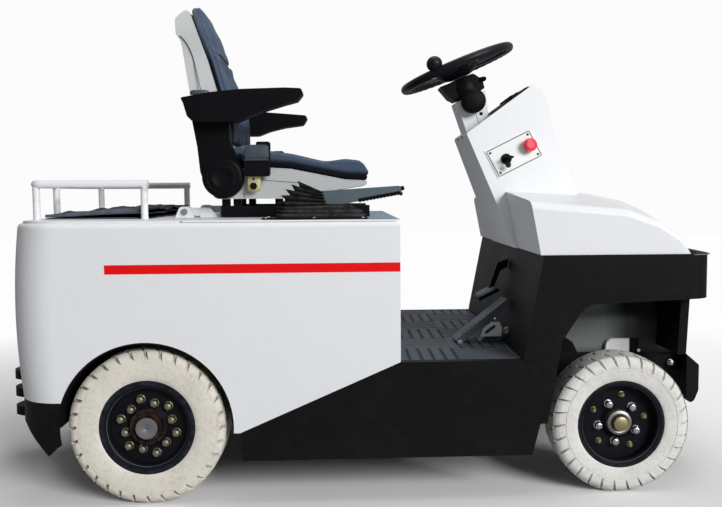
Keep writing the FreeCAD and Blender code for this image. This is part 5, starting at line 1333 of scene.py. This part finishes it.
def make_band_edge():
    """Painted highlight along the top of the front band: a thin pale cord led round it from side to side.

    In plan it runs straight ahead, rounds the corner as a Bezier curve, and crosses the nose as
    x = middle - bow (y / inner)^2.
    """
    _, wide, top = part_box("front_cowl")[1]
    corner = 0.070
    nose, middle, inner = FRONT_AXLE[0] + 0.243, FRONT_AXLE[0] + 0.277, wide - corner
    straight = [(side_x(1085), wide), (nose - corner, wide)]
    arc = bezier([(nose - corner, wide), (nose - 0.012, wide), (nose + 0.002, wide - 0.012),
                  (nose + 0.010, inner)], 12)
    y = inner * np.linspace(1, 0, 14)[1:]
    bow = np.stack([middle - (middle - nose - 0.010) * (y / inner) ** 2, y], -1)
    left = np.concatenate([straight, arc[1:], bow])
    x, y = np.concatenate([left, left[-2::-1] * (1, -1)]).T
    path = np.stack([x - 0.0008, 0.9960 * y, 0 * x + top - 0.0022], -1)
    cord = swept(path, rounded(0.0018, 0.0014, 2.0, 10), up=(0, 0, 1))
    # painted highlight: the pale cord stands in for the gloss on the band's rounded top edge
    cord.piece("band_edge", "chassis", "edge", "black_paint")


def make_arch_liners():
    """Sheets inside the front arches: y = 0.236 - 0.02 (1 - u), less 0.06 of a smooth step up v."""
    u, v = np.meshgrid(np.linspace(0, 1, 14), np.linspace(0, 1, 10), indexing="ij")
    y = 0.236 - 0.02 * (1 - u) - 0.060 * smooth_step(v, 0.5, 1.0)
    liners = Shape()
    for side in SIDES:
        sheet = np.stack([side_x(1150 + 410 * u), side * y, 0.348 + 0.197 * v], -1)
        liners.add(Shape().grid(sheet if side < 0 else sheet[::-1]))
    thicken(liners.piece("arch_liners", "chassis", "liner", "black_paint", sharp=40), 0.002, -1)


def make_sill_edges():
    """Pale grey cords along the front ends of the sills' top edges."""
    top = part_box("side_skirts")[1][2] - 0.0012
    sills = Shape()
    for side in SIDES:
        ends = [(side_x(reach), side * 0.4880, top) for reach in (690, 1020)]
        sills.add(swept(ends, rounded(0.0016, 0.0012, 2.0, 8), up=(0, 0, 1)))
    sills.piece("sill_edges", "chassis", "edge", "black_paint")


SPRING_BLOCK = ((1331, 351), (1331, 372), (1336, 386), (1346, 393.5), (1362, 394), (1405, 394), (1405, 351))


def make_spring_mounts():
    """Blocks at the rear eyes of the front springs, and the bolts of the frame beside them."""
    blocks, bolts = Shape(), Shape()
    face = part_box("chassis_frame")[1][1] - 0.0005
    for side in SIDES:
        out = (0, side, 0)
        levels = [(share, side * y) for share, y in ((1, 0.2240), (1, 0.2380), (0.95, 0.2395))]
        blocks.add(slab(SPRING_BLOCK, levels))
        bolts.add(hex_head(0.011, 0.006).at((side_x(1436), side * face, 0.356), out))
        bolts.add(nut_and_stud(0.016, 0.010, 0.004, 0.006).at((side_x(1535), side * 0.236, 0.318), out))
    blocks.piece("spring_blocks", "chassis", "spring", "black_paint", sharp=40)
    bolts.piece("frame_bolts", "chassis", "steel", "pin_steel", sharp=30)


def make_hinge_trim():
    """Washers where the hinge pins come out of their ears."""
    x, _, z = np.mean(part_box("hinge_pins"), axis=0)
    washer = turned([(0, 0), (0.0092, 0), (0.0092, 0.0025), (0.0078, 0.004), (0, 0.004)], 20)
    washers = Shape()
    for side in SIDES:
        for ear in (-1, 1):
            washers.add(washer.at((x, side * 0.190 + ear * 0.0208, z), (0, ear, 0)))
    washers.piece("hinge_washers", "chassis", "dull", "pin_steel")


def make_underbody():
    """Cooling ribs round the drive motor, and the bolts that close the axle's casing."""
    middle = np.array([REAR_X, 0, REAR_Z])
    rib = turned([(0.084, -0.002), (0.0905, -0.002), (0.0905, 0.002), (0.084, 0.002)], 40)
    ribs = rib.at((0, 0, 0), (1, 0, 0), (0, 0, 1)).dotted(middle + [(0.115 + 0.014 * i, 0, 0) for i in range(9)])
    ribs.piece("motor_ribs", "chassis", "black", "black_paint", sharp=30)
    turns = np.radians(15 + 60 * np.arange(6))
    bolts = Shape()
    for side in SIDES:
        spots = middle + np.stack([0.058 * np.cos(turns), 0 * turns + side * 0.109, 0.058 * np.sin(turns)], -1)
        bolts.add(hex_head(0.013, 0.010).at((0, 0, 0), (0, side, 0)).dotted(spots))
    bolts.piece("axle_bolts", "chassis", "steel", "pin_steel", sharp=30)


# ---------------------------------------------------------------------------------------------
# Studio: floor, lamps and camera
# ---------------------------------------------------------------------------------------------
def make_floor():
    """A round pale floor that turns to plain white far out for the camera."""
    turn = np.linspace(0, 2 * np.pi, 64, endpoint=False)
    rows = np.array([14.0, 5.0, 2.0, 0.0])[:, None]
    shape = Shape().grid(np.stack([rows * np.cos(turn), rows * np.sin(turn), 0 * rows * turn], -1), round_cols=True)
    mesh = bpy.data.meshes.new("floor")
    mesh.from_pydata(shape.points.tolist(), [], shape.faces.tolist())
    floor = bpy.data.objects.new("floor", mesh)
    bpy.context.collection.objects.link(floor)
    material = bpy.data.materials.new("studio_paper")
    material.use_nodes = True
    n = Nodes(material.node_tree)
    shader = material.node_tree.nodes["Principled BSDF"]
    seen = n.add("ShaderNodeLightPath").outputs["Is Camera Ray"]
    _, x, y, _ = n.place()
    far = n.times(seen, n.spread(n.distance(x, y), 1.3, 3.0))
    near = n.blend(seen, (0.42, 0.42, 0.43, 1), (0.96, 0.96, 0.97, 1))
    n.feed(shader.inputs["Base Color"], n.blend(far, near, (0, 0, 0, 1)))
    n.feed(shader.inputs["Emission Color"], n.blend(far, (0, 0, 0, 1), (0.97, 0.97, 0.97, 1)))
    for label, value in (("Emission Strength", 1.0), ("Roughness", 0.9), ("Specular IOR Level", 0.1)):
        shader.inputs[label].default_value = value
    mesh.materials.append(material)


def make_lamp(name, place, target, size, power, mirrored=True):
    """An area lamp at a place, facing a target; it is seen in gloss only if mirrored."""
    light = bpy.data.lights.new(name, "AREA")
    light.shape = "RECTANGLE"
    light.size, light.size_y = size
    light.energy = power
    holder = bpy.data.objects.new(name, light)
    holder.location = place
    holder.rotation_euler = (Vector(target) - Vector(place)).to_track_quat("-Z", "Y").to_euler()
    holder.visible_glossy = mirrored
    bpy.context.collection.objects.link(holder)


def make_studio():
    """Floor, a large soft key, a fill, a top and a back lamp, and pale air that is white to the camera."""
    make_floor()
    make_lamp("key", (9.0, -12.5, 7.0), (0, -0.3, 0.5), (8.0, 5.6), 2400)
    make_lamp("fill", (3.4, -2.2, 1.4), (0, 0, 0.5), (1.6, 1.6), 3)
    make_lamp("top", (0.3, 0.2, 4.2), (0, 0, 0.5), (3.6, 2.4), 52)
    make_lamp("back", (0.6, 3.6, 3.0), (0, 0.3, 0.5), (2.6, 1.6), 40, mirrored=False)
    world = bpy.data.worlds.new("studio_air")
    world.use_nodes = True
    n = Nodes(world.node_tree)
    path = n.add("ShaderNodeLightPath").outputs
    shiny = n.times(n.math("MAXIMUM", path["Is Glossy Ray"], path["Is Transmission Ray"]), 0.25)
    seen = n.times(path["Is Camera Ray"], 0.83)
    air = world.node_tree.nodes["Background"].inputs
    air["Color"].default_value = (0.97, 0.97, 0.97, 1)
    n.feed(air["Strength"], n.plus(n.math("MAXIMUM", seen, shiny), 0.17))
    bpy.context.scene.world = world


def make_camera():
    """Camera on the tractor's right side, a little above its decks and turned slightly forward."""
    turn, dip, roll = (math.radians(a) for a in (2.65, 4.14, -0.34))
    ahead = Vector((math.sin(turn) * math.cos(dip), math.cos(turn) * math.cos(dip), -math.sin(dip)))
    right = Vector((math.cos(turn), -math.sin(turn), 0.0))
    up = right.cross(ahead)
    across = right * math.cos(roll) + up * math.sin(roll)
    above = up * math.cos(roll) - right * math.sin(roll)
    data = bpy.data.cameras.new("camera")
    data.sensor_width, data.lens, data.clip_end = 36.0, 40.5, 60.0
    data.shift_x, data.shift_y = -0.0274, -0.0039
    holder = bpy.data.objects.new("camera", data)
    table = Matrix((across, above, -ahead)).transposed().to_4x4()
    place = (-0.0015, -2.658, 0.845)
    holder.matrix_world = Matrix.Translation(place) @ table
    bpy.context.collection.objects.link(holder)
    bpy.context.scene.camera = holder


for make in (make_camera, make_studio, make_wheels, make_cushions, make_seat_trim, make_boot, make_lever_tip,
             make_steering_wheel, make_column_trim, make_controls, make_panel_trim, make_pedal_trim, make_mat,
             make_cover, make_band_edge, make_arch_liners, make_sill_edges, make_spring_mounts, make_hinge_trim,
             make_underbody):
    make()
bpy.context.scene.view_settings.view_transform = "Standard"
